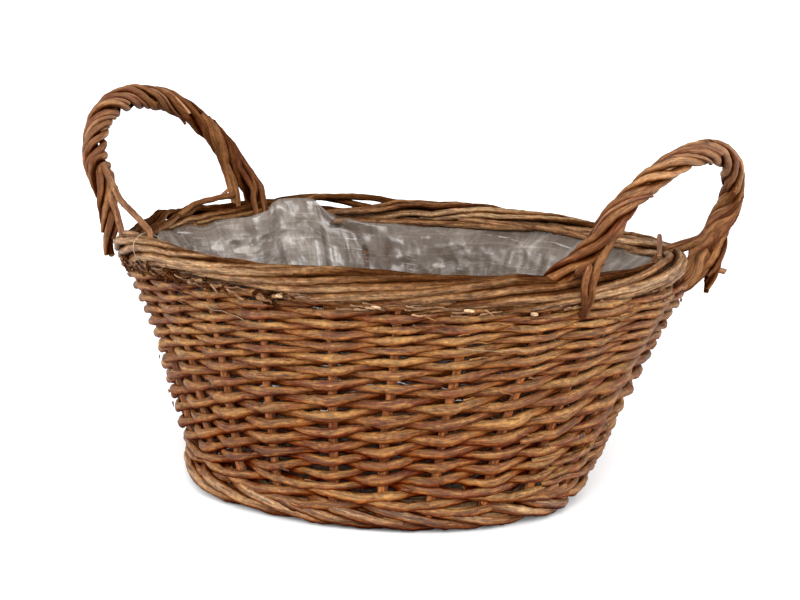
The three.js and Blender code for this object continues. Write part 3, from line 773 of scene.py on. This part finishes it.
# a strip of torn bark hangs under the left end of the border
for i in range(150):
    g = rand(5200 + i)
    q = np.linspace(0, 1, 8)
    u0, ln = 13.85 + 5.0 * g.beta(1.0, 1.8), g.uniform(0.10, 0.34)
    zz = np.interp(u0, [13.8, 14.9, 15.5, 16.2, 16.7, 17.1, 18, 19], [147.0, 147.0, 149.5, 151.5, 150.5, 148.4, 146.8, 144.5]) - 6.0 * g.beta(1.3, 1.9) + g.normal(-0.8, 2.0) * q + 0.6 * wobble(g, q, 0.7)
    nn = g.uniform(4.8, 8.4) + 2.4 * near(u0, 14.2, 1.0) + g.uniform(-1.0, 1.5) * q
    P = smooth(wall(u0 + ln * q, zz, nn), 1.3)
    borders[i % 3].rod(P, g.uniform(0.6, 1.5) * (1.1 - 0.5 * np.linspace(0, 1, len(P))), 5500 + i, sides=6, knots=0, tone=g.choice([-0.5, -0.4, -0.3, -0.2]), shade=g.choice([0.18, 0.28, 0.42, 0.85]), jitter=0.6, lump=0.5)
# pale tips of weavers cut off under the border
for i, (u0, z0) in enumerate(((18.36, 146.3), (19.68, 145.0), (20.86, 145.5), (21.73, 143.6), (22.9, 147.0), (3.1, 146.8), (5.6, 146.8), (8.2, 146.8), (10.7, 146.8), (12.4, 146.8))):
    g = rand(5800 + i)
    q = np.linspace(0, 1, 6)
    P = smooth(wall(u0 + g.uniform(0.09, 0.13) * q, z0 + g.uniform(-0.4, 0.4) + g.uniform(-0.5, 1.0) * q, 8.4 + 0.5 * q), 0.8)
    borders[i % 3].rod(P, g.uniform(0.9, 1.2) * (0.6 + 0.5 * np.sin(np.pi * np.linspace(0.1, 0.9, len(P)))), 5820 + i, sides=7, knots=0, tone=0.7, shade=1.35, jitter=0.2, lump=0.15)
for b, w in zip(borders, ("outer", "inner", "top")):
    b.make(M_BORDER, "willow_border", "border_rod_" + w)

# ---------------------------------------------------------------- foot border
foot = Bundle("foot_border_rods")
for j in range(STAKES):
    g = rand(3000 + j)
    Q = np.linspace(0, 1, 80)
    q = np.array([0, 0.08, 0.20, 0.50, 0.72, 0.88, 1.0])
    u = j - 0.35 + (2.75 * g.uniform(0.93, 1.08)) * Q
    z = np.interp(Q, q, [17.5, 16.5, 14.0, 7.4, 4.6, 4.2, 4.4])
    n = np.interp(Q, q, [-2.0, 1.8, 4.2, 3.2, 0.4, -4.2, -8.0])
    ker = np.hanning(11)
    ker /= ker.sum()
    n = np.convolve(np.pad(n, 5, mode="edge"), ker, "valid")
    z = np.convolve(np.pad(z, 5, mode="edge"), ker, "valid")
    n = n + 1.8 * near(u, 14.4, 2.2) + 2.2 * near(u, 16.0, 1.2) - 3.2 * near(u, 1.3, 1.5) - 1.0 * near(u, 20.5, 3.0) + 1.4 * near(u, 15.6, 0.9) + 1.8 * near(u, 0.1, 0.8)
    if j % 5 == 2:
        u = u + 0.25
        n = n + 2.2 * np.exp(-Q / 0.12)
    r = (3.55 - 0.45 * Q) * g.uniform(0.88, 1.06)
    z = np.maximum(z, r * 1.1)
    P = smooth(wall(u, z, n), 2.0)
    # painted light and shade: the foot rods are darker at both ends, where they tuck under, lighter on their rounded
    # middle, with deep painted shade in the grooves between them
    foot.rod(P, np.interp(np.linspace(0, 1, len(P)), Q, r), 3100 + j, sides=12, jitter=0.2, tone=g.normal(0, 0.06), under=0.5, shade=np.interp(np.linspace(0, 1, len(P)), [0, 0.12, 0.3, 0.65, 1], [0.26, 0.90, 1.24, 0.84, 0.20]),
             out=np.stack([np.interp(np.linspace(0, 1, len(P)), Q, c) for c in outward(u, z, 0.4).T], -1), groove=(0.03, 0.22, 0.97))
foot.make(M_FOOT, "willow_foot", "foot_border")

# ---------------------------------------------------------------- handles
def arch(w, side, x0, yw, z0, hh, lean, py, pz, px, skew, ybul):
    th = np.pi * w
    c, s = np.cos(th), np.clip(np.sin(th), 0, 1)
    y = -yw * np.sign(c) * np.abs(c) ** py + skew * s - ybul * np.sin(2 * th)
    return np.stack([side * (x0 + lean * s ** px), y, z0 + hh * s ** pz], -1)


HANDLES = {
    "left": (-1, 183.4, 75.4, 151.0, 90.2, 43.6, 0.92, 0.66, 0.95, 0.3, -6.2),
    "right": (1, 185.3, 79.6, 155.0, 80.6, 38.9, 1.1, 0.68, 0.84, -1.4, -1.6),
}
DEPTH = {"left": (-4.0, -15.0), "right": (20.0, -2.0)}          # how far each leg stands in from an even arch
# where the rope's rods end, front leg then back leg: (upright, height, outward)
LEGS = {
    "left": ([(13.60, 191, 8.5), (13.60, 180, 8.8), (13.62, 170, 10.0), (13.66, 160, 12.8), (13.70, 152, 16.2), (13.74, 146, 18.0), (13.80, 141.0, 17.5)],
             [(10.10, 173.5, 0.5), (10.12, 162, 2.5), (10.12, 152, 4.0)]),
    "right": ([(22.38, 187.5, 6.0), (22.30, 179.5, 3.5), (22.19, 172.5, 1.2), (22.05, 166.6, 0.2), (21.92, 160.0, -2.2), (21.82, 152.5, -3.2)],
              [(1.26, 182, 19.4), (1.24, 172, 21.8), (1.22, 162, 24.0), (1.20, 153, 25.0), (1.18, 144, 25.6), (1.17, 139, 26.0)]),
}
# length of one turn of the rope, along its length from the front leg
PITCH = {"left": ([0, 40, 62, 120, 165, 400], [110, 90, 52, 52, 84, 96]), "right": ([0, 60, 300], [105, 84, 84])}
SHORT = {"left": {1: 26, 3: 20}, "right": {1: 7, 2: 4, 3: 9, 4: 2, 5: 5}}          # rods that leave the rope above its back leg, in steps
# painted shade along the rope from the front leg: darker on the legs and the back, lightest over the crown
ROPE_SHADE = {"left": ([0, 0.18, 0.30, 0.50, 0.64, 0.78, 1.0], [0.60, 0.62, 0.84, 0.84, 0.44, 0.30, 0.38]), "right": ([0, 0.18, 0.34, 0.62, 0.78, 1.0], [0.46, 0.52, 0.86, 0.95, 0.64, 0.50])}
EARLY = {"left": {0: 3, 1: 10, 3: 6, 4: 13}, "right": {1: 4, 3: 6}}      # and above its front leg
# rods that leave the rope and bind it to the border: (handle, leg), each with rods as
# (distance up the rope, turn on the rope, [points], radius)
BINDS = {
    ("left", 0): [(56, 0.1, [(14.05, 189.0, 0.2), (14.40, 182.4, -1.0), (14.80, 178.8, -2.2), (15.10, 176.0, -2.6), (15.40, 172.1, -2.4), (15.58, 167.0, -2.4), (15.60, 160.5, -0.5), (15.60, 153.0, 0.5)], 2.2),
                  (40, 2.6, [(13.86, 172.0, 4.2), (13.95, 163.0, 4.4), (14.0, 155.0, 5.0), (14.0, 147.0, 6.0)], 2.4)],
    ("left", 1): [(54, 0.0, [(10.50, 181.0, 0.0), (10.48, 172.0, 0.0), (10.48, 164.0, 0.5), (10.49, 155.0, 1.0)], 2.5),
                  (49, 0.9, [(10.42, 180.0, -2.0), (10.42, 171.0, -2.5), (10.43, 163.0, -1.5), (10.45, 155.0, 0.0)], 2.3),
                  (46, 0.0, [(9.98, 174.5, -5.0), (10.00, 168.0, -9.3), (10.03, 157.0, -10.2), (10.08, 147.5, -8.5)], 2.2),
                  (40, 1.4, [(10.14, 175.0, -5.0), (10.18, 168.0, -9.5), (10.20, 157.0, -10.4), (10.20, 148.0, -8.6)], 2.1),
                  (44, 2.9, [(10.48, 171.5, -2.0), (10.90, 169.0, -7.5), (11.45, 166.0, -9.4), (11.90, 160.5, -10.0)], 2.2),
                  (36, 4.4, [(10.20, 172.0, 9.0), (10.16, 160.0, 12.6), (10.10, 149.0, 10.5), (10.02, 143.0, 7.5)], 2.0)],
    ("right", 0): [(56, 0.4, [(22.50, 190.0, 9.0), (22.45, 183.0, 10.5), (22.38, 173.2, 11.6), (22.38, 163.2, 12.4), (22.45, 151.8, 11.6), (22.49, 143.4, 9.5), (22.55, 140.0, 5.5)], 2.4),
                   (26, 1.5, [(22.29, 173.0, 9.0), (22.27, 166.0, 11.6), (22.30, 158.4, 12.2), (22.40, 149.0, 11.4), (22.47, 144.2, 9.6), (22.50, 141.0, 5.5)], 2.2)],
    ("right", 1): [(48, 0.2, [(1.34, 176.0, 12.0), (1.42, 170.5, 2.0), (1.50, 164.0, -7.0), (1.54, 156.0, -9.6)], 2.0),
                   (42, 1.2, [(1.20, 174.5, 13.0), (1.26, 168.5, 4.0), (1.34, 162.0, -6.0), (1.38, 154.0, -9.4)], 2.3),
                   (40, 4.4, [(1.05, 174.0, 15.0), (1.02, 166.0, 10.0), (1.00, 156.0, 9.8), (0.98, 147.0, 8.0)], 2.2),
                   (38, 2.2, [(1.28, 170.0, 10.0), (1.12, 161.0, 11.8), (1.03, 153.0, 12.6), (1.00, 146.0, 9.0)], 3.1),
                   (37, 2.2, [(1.17, 171.0, 16.6), (1.11, 163.5, 16.0), (1.05, 154.4, 17.6), (1.00, 147.0, 14.6), (0.98, 141.5, 9.0)], 3.0),
                   (31, 2.2, [(1.17, 164.5, 19.8), (1.14, 157.2, 19.4), (1.09, 149.8, 16.8), (1.05, 143.5, 10.6)], 2.9),
                   (32, 2.2, [(1.20, 165.7, 22.0), (1.16, 158.9, 21.7), (1.12, 152.7, 20.6), (1.08, 148.3, 18.0), (1.04, 144.6, 14.6), (1.0, 141.4, 10.0)], 3.0),
                   (26, 2.2, [(1.24, 159.5, 21.0), (1.26, 151.5, 18.6), (1.28, 144.5, 13.0), (1.30, 140.5, 8.0)], 2.6)],
}
STUBS = {
    ("left", 0): [([(15.15, 163.6, 0.6), (14.80, 162.4, 1.2), (14.52, 161.0, 2.2)], 2.1)],
    ("left", 1): [([(10.75, 170.0, -5.0), (10.62, 174.0, -6.5)], 1.3)],
    ("right", 0): [],
    ("right", 1): [([(1.15, 163.0, -9.0), (1.50, 167.5, -9.8), (1.86, 172.0, -9.2)], 1.7), ([(1.20, 157.5, 20.0), (1.22, 156.2, 27.0), (1.25, 154.5, 35.0)], 1.8)],
}
for word, par in HANDLES.items():
    side = par[0]
    w = 0.5 - 0.5 * np.cos(np.pi * np.linspace(0, 1, 400))
    A = arch(w, *par)
    if word == "left":
        A[:, 0] -= 3.8 * np.exp(-((w - 0.22) / 0.15) ** 2)
        A[:, 2] -= 0.9 * np.exp(-((w - 0.52) / 0.13) ** 2)
    else:
        A[:, 0] += 1.2 * np.exp(-((w - 0.7) / 0.16) ** 2) + 0.7 * np.exp(-((w - 0.86) / 0.10) ** 2)
    ray = A - EYE / MM
    ray /= np.linalg.norm(ray, axis=1)[:, None]
    d0, d1 = DEPTH[word]
    A = A + ray * (d0 + (d1 - d0) * w)[:, None]
    legs = LEGS[word]
    cut0, cut1 = (0.125, 0.94) if word == "left" else (0.14, 0.90)
    keep = A[(w > cut0) & (w < cut1)]
    ctrl = np.vstack([np.array([wall(*p) for p in legs[0]])[::-1], keep[::8], np.array([wall(*p) for p in legs[1]])])
    C = smooth(ctrl, 1.6)
    ker = np.hanning(15)
    ker /= ker.sum()
    C = np.stack([np.convolve(np.pad(C[:, k], 7, mode="reflect", reflect_type="odd"), ker, "valid") for k in range(3)], -1)
    L = np.concatenate([[0], np.cumsum(np.linalg.norm(np.diff(C, axis=0), axis=1))])
    LT = L[-1]
    T = np.gradient(C, axis=0)
    T /= np.linalg.norm(T, axis=1)[:, None]
    across = np.array([side * par[4], 0, -par[5]])
    across = across / np.linalg.norm(across)
    e2 = across - T * (T @ across)[:, None]
    e2 /= np.linalg.norm(e2, axis=1)[:, None]
    e1 = np.cross(e2, T)
    near_leg, far_leg = np.clip(1 - L / 45, 0, 1), np.clip(1 - (LT - L) / 45, 0, 1)
    if word == "left":
        R = 4.95 + 0.9 * np.exp(-((L - 66) / 20) ** 2) + 1.4 * np.exp(-((L - 140) / 55) ** 2) - 1.0 * np.clip(1 - L / 45, 0, 1) - 0.6 * far_leg
    else:
        R = 4.7 - 0.5 * near_leg - 0.9 * far_leg
    g = rand(4900 + side)
    rate = np.interp(L, PITCH[word][0], PITCH[word][1])
    spin = TAU * (np.concatenate([[0], np.cumsum(np.diff(L) / rate[1:])]) + 0.05 * wobble(g, L, 140))
    bs = [Bundle("handle_%s_strand_%d_rods" % (word, k + 1)) for k in range(3)]
    for k in range(6):
        g = rand(4000 + 50 * (side + 1) + k)
        rr = (2.75 if word == "left" else 2.65) * g.uniform(0.90, 1.10)
        i0 = int(g.integers(0, 3)) + EARLY[word].get(k, 0)
        i1 = len(L) - int(g.integers(0, 5)) - SHORT[word].get(k, 0)
        phi = spin + TAU * k / 5 + 0.16 * wobble(g, L, 90)
        Rk = R * (1 + 0.07 * wobble(g, L, 60))
        if k == 5:
            Rk = 0.2 * R
        P = (C + e1 * (Rk * np.cos(phi))[:, None] + e2 * (Rk * np.sin(phi))[:, None])[i0:i1]
        Lk = L[i0:i1]
        taper = (1.08 - 0.18 * (Lk / LT if k % 2 else 1 - Lk / LT)) * (0.55 + 0.45 * np.clip(np.minimum(Lk - Lk[0], Lk[-1] - Lk) / 14, 0, 1))
        bs[k % 3].rod(P, rr * taper, 4200 + 50 * (side + 1) + k, sides=12, jitter=0.25, lump=0.07, knots=1.15, tone=g.normal(-0.05 if word == "left" else 0.0, 0.09), under=0.3,
                      shade=np.interp(Lk / LT, *ROPE_SHADE[word]), out=P - C[i0:i1], groove=(0.13, 0.08, 0.95))
    # short rods laid into the rope, whose ends stand out
    for k in range(7):
        g = rand(4600 + 20 * (side + 1) + k)
        s0 = g.uniform(0.12, 0.78) * LT
        ok = (L > s0) & (L < s0 + g.uniform(26, 60))
        phi = spin[ok] + TAU * (k + 0.5) / 5
        q = (L[ok] - L[ok][0]) / (L[ok][-1] - L[ok][0])
        Rk = R[ok] + 1.3 + 1.6 * np.exp(-(1 - q) / 0.08) - 2.4 * np.exp(-q / 0.15)
        P = C[ok] + e1[ok] * (Rk * np.cos(phi))[:, None] + e2[ok] * (Rk * np.sin(phi))[:, None]
        bs[k % 3].rod(P, g.uniform(1.0, 1.5), 4700 + 20 * (side + 1) + k, sides=9, knots=0.6, tone=g.normal(-0.1, 0.1), slant=(0, 0.5))
    for k in range(3):
        bs[k].make(M_HANDLE, "willow_handle", "handle_%s_strand_%d" % (word, k + 1))
    for leg, place_word in ((0, "front"), (1, "back")):
        b = Bundle("handle_%s_%s_lashing_rods" % (word, place_word))
        for i, (dist, turn, pts, rad) in enumerate(BINDS[(word, leg)]):
            s = L if leg == 0 else LT - L
            ok = np.where((s < dist + 34) & (s > dist))[0]
            if leg == 0:
                ok = ok[::-1]
            lo = ok[-1]
            to = wall(*pts[0]) - C[lo]
            phi = spin[ok] - spin[lo] + math.atan2(to @ e2[lo], to @ e1[lo])
            Rk = R[ok] + 0.6 + 1.2 * np.linspace(0, 1, len(ok))
            H = C[ok] + e1[ok] * (Rk * np.cos(phi))[:, None] + e2[ok] * (Rk * np.sin(phi))[:, None]
            P = smooth(np.vstack([H[::4], np.array([wall(*p) for p in pts])]), 1.8)
            # painted shade: the lashing rods are darkened, most at the back legs
            b.rod(P, rad * (1.06 - 0.14 * np.linspace(0, 1, len(P))), 5000 + 200 * (side + 1) + 20 * leg + i, sides=10, jitter=0.2, knots=0.9, tone=rand(5100 + i + leg).normal(0.04, 0.08), shade={("left", 1): 0.46, ("right", 0): 0.62, ("right", 1): 0.60}.get((word, leg), 0.74))
        for i, (pts, rad) in enumerate(STUBS[(word, leg)]):
            b.rod(smooth(np.array([wall(*p) for p in pts]), 1.2), rad, 5600 + 20 * (side + 1) + 5 * leg + i, sides=10, jitter=0.1, knots=0.5, slant=(0.4, 0.5))
        b.make(M_HANDLE, "willow_handle", "handle_%s_%s_lashing" % (word, place_word))

# ---------------------------------------------------------------- base
LONG_Y = [-26, 0, 26]
CROSS_X = [-72, -36, 0, 36, 72]
BA, BB = 122.5, 107.3
for i, y in enumerate(LONG_Y):
    h = BA * math.sqrt(1 - (y / BB) ** 2) - 0.5
    b = Bundle("base_stick_long_%d_rod" % (i + 1))
    b.rod(np.stack([np.linspace(-h, h, 90), np.full(90, y), np.full(90, 15.0)], -1), 2.25, 6000 + i, sides=10, jitter=0.3)
    b.make(M_BASE, "willow_base", "base_stick_long_%d" % (i + 1))
for i, x in enumerate(CROSS_X):
    h = BB * math.sqrt(1 - (x / BA) ** 2) - 0.5
    b = Bundle("base_stick_cross_%d_rod" % (i + 1))
    b.rod(np.stack([np.full(80, x), np.linspace(-h, h, 80), np.full(80, 11.2)], -1), 2.25, 6100 + i, sides=10, jitter=0.3)
    b.make(M_BASE, "willow_base", "base_stick_cross_%d" % (i + 1))
weave = Bundle("base_weave_rods")
for i in range(27):
    g = rand(6300 + i)
    f = 0.045 + 0.94 * i / 26
    ra, rb = (BA - 2) * f, (BB - 2) * f
    t = np.linspace(0, TAU * 1.012, 330 if i > 6 else 120) + g.uniform(0, TAU)
    # the sticks this round meets, in order
    met = [math.asin(y / rb) for y in LONG_Y if abs(y) < rb]
    met = [m % TAU for v in met for m in (v, math.pi - v)]
    met = np.array(sorted(met + [m % TAU for x in CROSS_X if abs(x) < ra for m in (math.acos(x / ra), -math.acos(x / ra))]))
    met = np.concatenate([met, [met[0] + TAU]])
    idx = np.interp((t - met[0]) % TAU + met[0], met, np.arange(len(met)))
    zz = 13.1 + 3.3 * np.cos(np.pi * (idx + i)) + 0.2 * wobble(g, t, 1.0)
    weave.rod(np.stack([ra * np.cos(t), rb * np.sin(t), zz], -1), 1.95 * g.uniform(0.9, 1.08), 6400 + i, sides=8, tone=g.normal(0, 0.06))
# the last rounds close the base against the uprights
for i, (z0, n0, r0) in enumerate(((13.6, -3.9, 2.3), (9.6, -0.4, 2.2), (16.6, -5.4, 2.0))):
    g = rand(6350 + i)
    u = np.linspace(0, STAKES * 1.012, 330) + g.uniform(0, STAKES)
    weave.rod(wall(u, z0 + 0.4 * wobble(g, u, 5.0), n0 + 0.5 * np.cos(np.pi * u)), r0, 6450 + i, sides=8, tone=g.normal(0, 0.06))
weave.make(M_BASE, "willow_base", "base_weave")

# ---------------------------------------------------------------- film liner
def field(g, nu, nv, cu, cv, ridge=False):
    """Smooth random field on a grid that closes in its first direction."""
    a = g.uniform(0, 1, (cu, cv + 3))
    x = np.arange(nu) * cu / nu
    y = np.linspace(0, cv, nv)
    i, fx = np.floor(x).astype(int), x - np.floor(x)
    j, fy = np.floor(y).astype(int), y - np.floor(y)
    fx, fy = fx * fx * (3 - 2 * fx), fy * fy * (3 - 2 * fy)
    A, B = a[i % cu], a[(i + 1) % cu]
    lo = A[:, j] * (1 - fx)[:, None] + B[:, j] * fx[:, None]
    hi = A[:, j + 1] * (1 - fx)[:, None] + B[:, j + 1] * fx[:, None]
    v = lo * (1 - fy) + hi * fy
    return 1 - np.abs(2 * v - 1) * 2 if ridge else 2 * v - 1


NU, NV, NB = 560, 62, 16
g = rand(77)
fu = np.arange(NU) * STAKES / NU
EDGE_U = np.array([0, 1.5, 3, 4.5, 6, 7.2, 7.62, 8.16, 8.75, 8.95, 9.1, 9.4, 9.75, 9.9, 10.0, 10.37, 11.5, 12.3, 12.95, 13.25, 14.6, 15.4, 17, 19, 21, 23, 24.0])
EDGE_Z = np.array([160, 160, 160, 160, 159, 153, 152.5, 153.5, 156.5, 162, 168.5, 169.2, 168.2, 165, 159.5, 156, 152.5, 152.5, 154, 149, 149, 155, 156, 156, 156, 158, 160.0])
top = np.interp(fu, EDGE_U, EDGE_Z) + 0.9 * field(g, NU, 2, 48, 1)[:, 0] + 0.5 * field(g, NU, 2, 110, 1)[:, 0]
v = np.linspace(0, 1, NV)
Zf = 21.5 + (top[:, None] - 21.5) * v[None, :]
relief = (2.6 * field(g, NU, NV, 26, 3, True) + 1.7 * field(g, NU, NV, 60, 6, True) + 1.1 * field(g, NU, NV, 44, 14, True) + 0.8 * field(g, NU, NV, 130, 16, True) + 0.5 * field(g, NU, NV, 210, 30))
inset = 10.0 + 2.0 * np.clip((Zf - 120) / 40, 0, 1) + np.clip(2.4 + relief * 0.75, 0, 9)
tuck = np.interp(fu, [0, 7.3, 8.1, 9.9, 10.6, 13.2, 14.0, 24], [1, 1, 0, 0, 0.25, 0.2, 1, 1])[:, None] * np.clip((Zf - 143) / 11, 0, 1)
inset = inset * (1 - tuck) + 5.4 * tuck
bump_u = np.exp(-((fu - 9.4) / 0.75) ** 2)[:, None]
inset = inset + 3.5 * bump_u * np.clip((Zf - 140) / 25, 0, 1)
S_in = wall(fu[:, None] + 0 * Zf, Zf, -inset)
# the bottom of the bag: rings from the lower edge in to the middle
ring = S_in[:, 0, :]
bot = []
relief_b = 1.3 * field(g, NU, NB, 30, 5, True) + 0.8 * field(g, NU, NB, 70, 9, True)
for k in range(1, NB):
    f = 1 - k / NB
    P = ring.copy()
    P[:, :2] *= f ** 0.92
    P[:, 2] = 20.9 + np.clip(1.6 + relief_b[:, k], 0.2, 4.5) * min(1, 3 * f)
    bot.append(P)
grid = np.concatenate([np.stack(bot[::-1], 1), S_in], 1)          # (NU, NB-1+NV, 3), middle to rim
creases = np.concatenate([np.stack([relief_b[:, k] for k in range(1, NB)][::-1], 1) / 2.1, relief / 5.0], 1)
NW = grid.shape[1]
du = np.roll(grid, -1, 0) - np.roll(grid, 1, 0)
dv = np.gradient(grid, axis=1)
nrm = np.cross(du, dv)
nrm /= np.linalg.norm(nrm, axis=2)[:, :, None] + 1e-9
inner, outer = grid - 0.16 * nrm, grid + 0.16 * nrm
mid_in, mid_out = inner[:, 0].mean(0), outer[:, 0].mean(0)
V = np.concatenate([inner.reshape(-1, 3), outer.reshape(-1, 3), [mid_in], [mid_out]])
iu, iv = np.arange(NU)[:, None], np.arange(NW - 1)[None, :]
a0 = iu * NW + iv
a1 = ((iu + 1) % NU) * NW + iv
QI = np.stack([a0, a0 + 1, a1 + 1, a1], -1).reshape(-1, 4)
QO = np.stack([a0, a1, a1 + 1, a0 + 1], -1).reshape(-1, 4) + NU * NW
rim0, rim1 = np.arange(NU) * NW + NW - 1, ((np.arange(NU) + 1) % NU) * NW + NW - 1
QR = np.stack([rim0, rim0 + NU * NW, rim1 + NU * NW, rim1], -1)
c0, c1 = np.arange(NU) * NW, ((np.arange(NU) + 1) % NU) * NW
mi, mo = 2 * NU * NW, 2 * NU * NW + 1
RT = np.concatenate([np.stack([np.full(NU, mi), c0, c1], -1), np.stack([np.full(NU, mo), c1 + NU * NW, c0 + NU * NW], -1)])
film = mesh_object("liner_film_sheet", V * MM, np.concatenate([QI, QO, QR]), RT, M_FILM)
at = film.data.attributes.new("crease_and_glint", "FLOAT", "POINT")
cz = np.clip(creases, -1, 1)
gu, gz = fu[:, None], grid[:, :, 2]
milky = np.clip((gu - 9.03) / 0.05, 0, 1) * np.clip((9.90 - gu) / 0.09, 0, 1) * np.clip((gz - 104) / 14, 0, 1) * (1 - 0.40 * np.clip((gz - 150) / 12, 0, 1))
milky = np.maximum(milky, 0.75 * np.clip((gu - 8.52) / 0.06, 0, 1) * np.clip((9.06 - gu) / 0.06, 0, 1) * np.clip((gz - 104) / 14, 0, 1) * np.clip((146 - gz) / 6, 0, 1))
cz = cz * (1 - 0.85 * milky) + 1.02 * milky
# painted highlight: a pale vertical line on the film at u 7.30 to 7.66
cz = cz * (1 - 0.4 * np.clip((gu - 7.30) / 0.1, 0, 1) * np.clip((7.66 - gu) / 0.02, 0, 1)) + 0.35 * np.clip((gu - 7.30) / 0.1, 0, 1) * np.clip((7.66 - gu) / 0.02, 0, 1)
for uc, hw, zt, amp in ((8.60, 0.035, 138, -2.2), (8.30, 0.06, 134, -1.9), (7.84, 0.17, 150, -1.75), (8.46, 0.05, 136, 0.8), (8.08, 0.05, 134, 0.9), (6.5, 0.13, 131, -2.3), (10.3, 0.10, 132, -2.0), (8.25, 0.35, 153, -1.0)):
    cz = cz + amp * np.exp(-((gu - uc) / hw) ** 2) * np.clip((zt + 6 - gz) / 6, 0, 1)
# painted glints: short bright horizontal lines on the film
for ua, ub, zc, amp in ((10.2, 10.95, 134.2, 1.5), (11.2, 11.5, 136.8, 1.2), (7.06, 7.28, 145.0, 1.6), (6.77, 7.0, 126.2, 1.6), (8.9, 9.9, 146.0, -0.5)):
    cz = cz + amp * np.exp(-((gz - zc) / 1.3) ** 2) * np.clip((gu - ua) / 0.05 + 0.5, 0, 1) * np.clip((ub - gu) / 0.05 + 0.5, 0, 1)
cz = cz - 3.0 * np.exp(-((gu - 8.74 + (gz - 152.5) * 0.022) / 0.15) ** 4) * np.exp(-((gz - 152.5) / 5.2) ** 4)
cz = cz.reshape(-1)
at.data.foreach_set("value", np.concatenate([cz, cz, [0, 0]]).astype(np.float32))
at = film.data.attributes.new("filmco", "FLOAT_VECTOR", "POINT")
fc = np.stack([np.broadcast_to((fu / STAKES)[:, None], (NU, NW)), np.broadcast_to(np.linspace(0, 1, NW)[None, :], (NU, NW)), np.zeros((NU, NW))], -1).reshape(-1, 3)
at.data.foreach_set("vector", np.concatenate([fc, fc, np.zeros((2, 3))]).astype(np.float32).ravel())
place(film, "film", "liner_film")

# ---------------------------------------------------------------- thread
th = Bundle("liner_stitch_thread")
loop = [(15.50, 156.0, -11.0), (15.50, 164.2, -7.6), (15.52, 167.4, 0.0), (15.54, 163.8, 7.4), (15.55, 157.0, 11.0), (15.52, 151.0, 9.8), (15.46, 146.5, 6.0), (15.40, 145.0, 0.0), (15.42, 148.0, -8.0), (15.47, 152.0, -10.6)]
th.rod(smooth(np.array([wall(*p) for p in loop]), 1.2), 0.24, 7000, sides=6, knots=0, jitter=0.25)
g = rand(7010)
q = np.linspace(0, 1, 10)
th.rod(smooth(wall(16.9 + 0.9 * q, 133.5 - 5 * q + 0.8 * wobble(g, q, 0.7), 8.6 + 0.8 * np.sin(9 * q)), 1.2), 0.15, 7001, sides=6, knots=0, jitter=0.2)
th.rod(smooth(wall(20.9 + 1.0 * q, 121.5 - 1.5 * q + 0.6 * wobble(g, q, 0.7), 8.0 + 0.6 * np.sin(8 * q)), 1.2), 0.14, 7002, sides=6, knots=0, jitter=0.2)
th.make(M_THREAD, "thread", "liner_stitch")

# ---------------------------------------------------------------- floor and light
floor_m = Nodes("pale_floor")
b = floor_m.add("BsdfPrincipled")
b.inputs["Base Color"].default_value = (0.98, 0.98, 0.98, 1)
b.inputs["Roughness"].default_value = 0.9
b.inputs["Specular IOR Level"].default_value = 0.1
floor_m.link(b.outputs[0], floor_m.out.inputs[0])
floor = mesh_object("floor", np.array([[-60, -60, 0], [60, -60, 0], [60, 60, 0], [-60, 60, 0]], float), np.array([[0, 1, 2, 3]]), np.zeros((0, 3), int), floor_m.m)
floor.location.z = -0.0004

world = bpy.data.worlds.new("studio")
world.use_nodes = True
world.node_tree.nodes["Background"].inputs[0].default_value = (1, 1, 1, 1)
world.node_tree.nodes["Background"].inputs[1].default_value = 0.72
bpy.context.scene.world = world


def sun(name, azimuth, elevation, strength, angle):
    """Soft light from far away; azimuth 0 is the front, turning to the right."""
    d = bpy.data.lights.new(name, "SUN")
    d.energy = strength
    d.angle = math.radians(angle)
    o = bpy.data.objects.new(name, d)
    az, el = math.radians(azimuth), math.radians(elevation)
    to = Vector((math.sin(az) * math.cos(el), -math.cos(az) * math.cos(el), math.sin(el)))
    o.rotation_euler = to.to_track_quat("Z", "Y").to_euler()
    o.location = to * 2
    bpy.context.scene.collection.objects.link(o)


sun("key", 36, 30, 3.8, 30)
sun("fill_left", -36, 7, 4.0, 45)
sun("fill_right", 108, 7, 3.9, 45)

bpy.context.scene.view_settings.view_transform = "Standard"
bpy.context.scene.view_settings.look = "None"
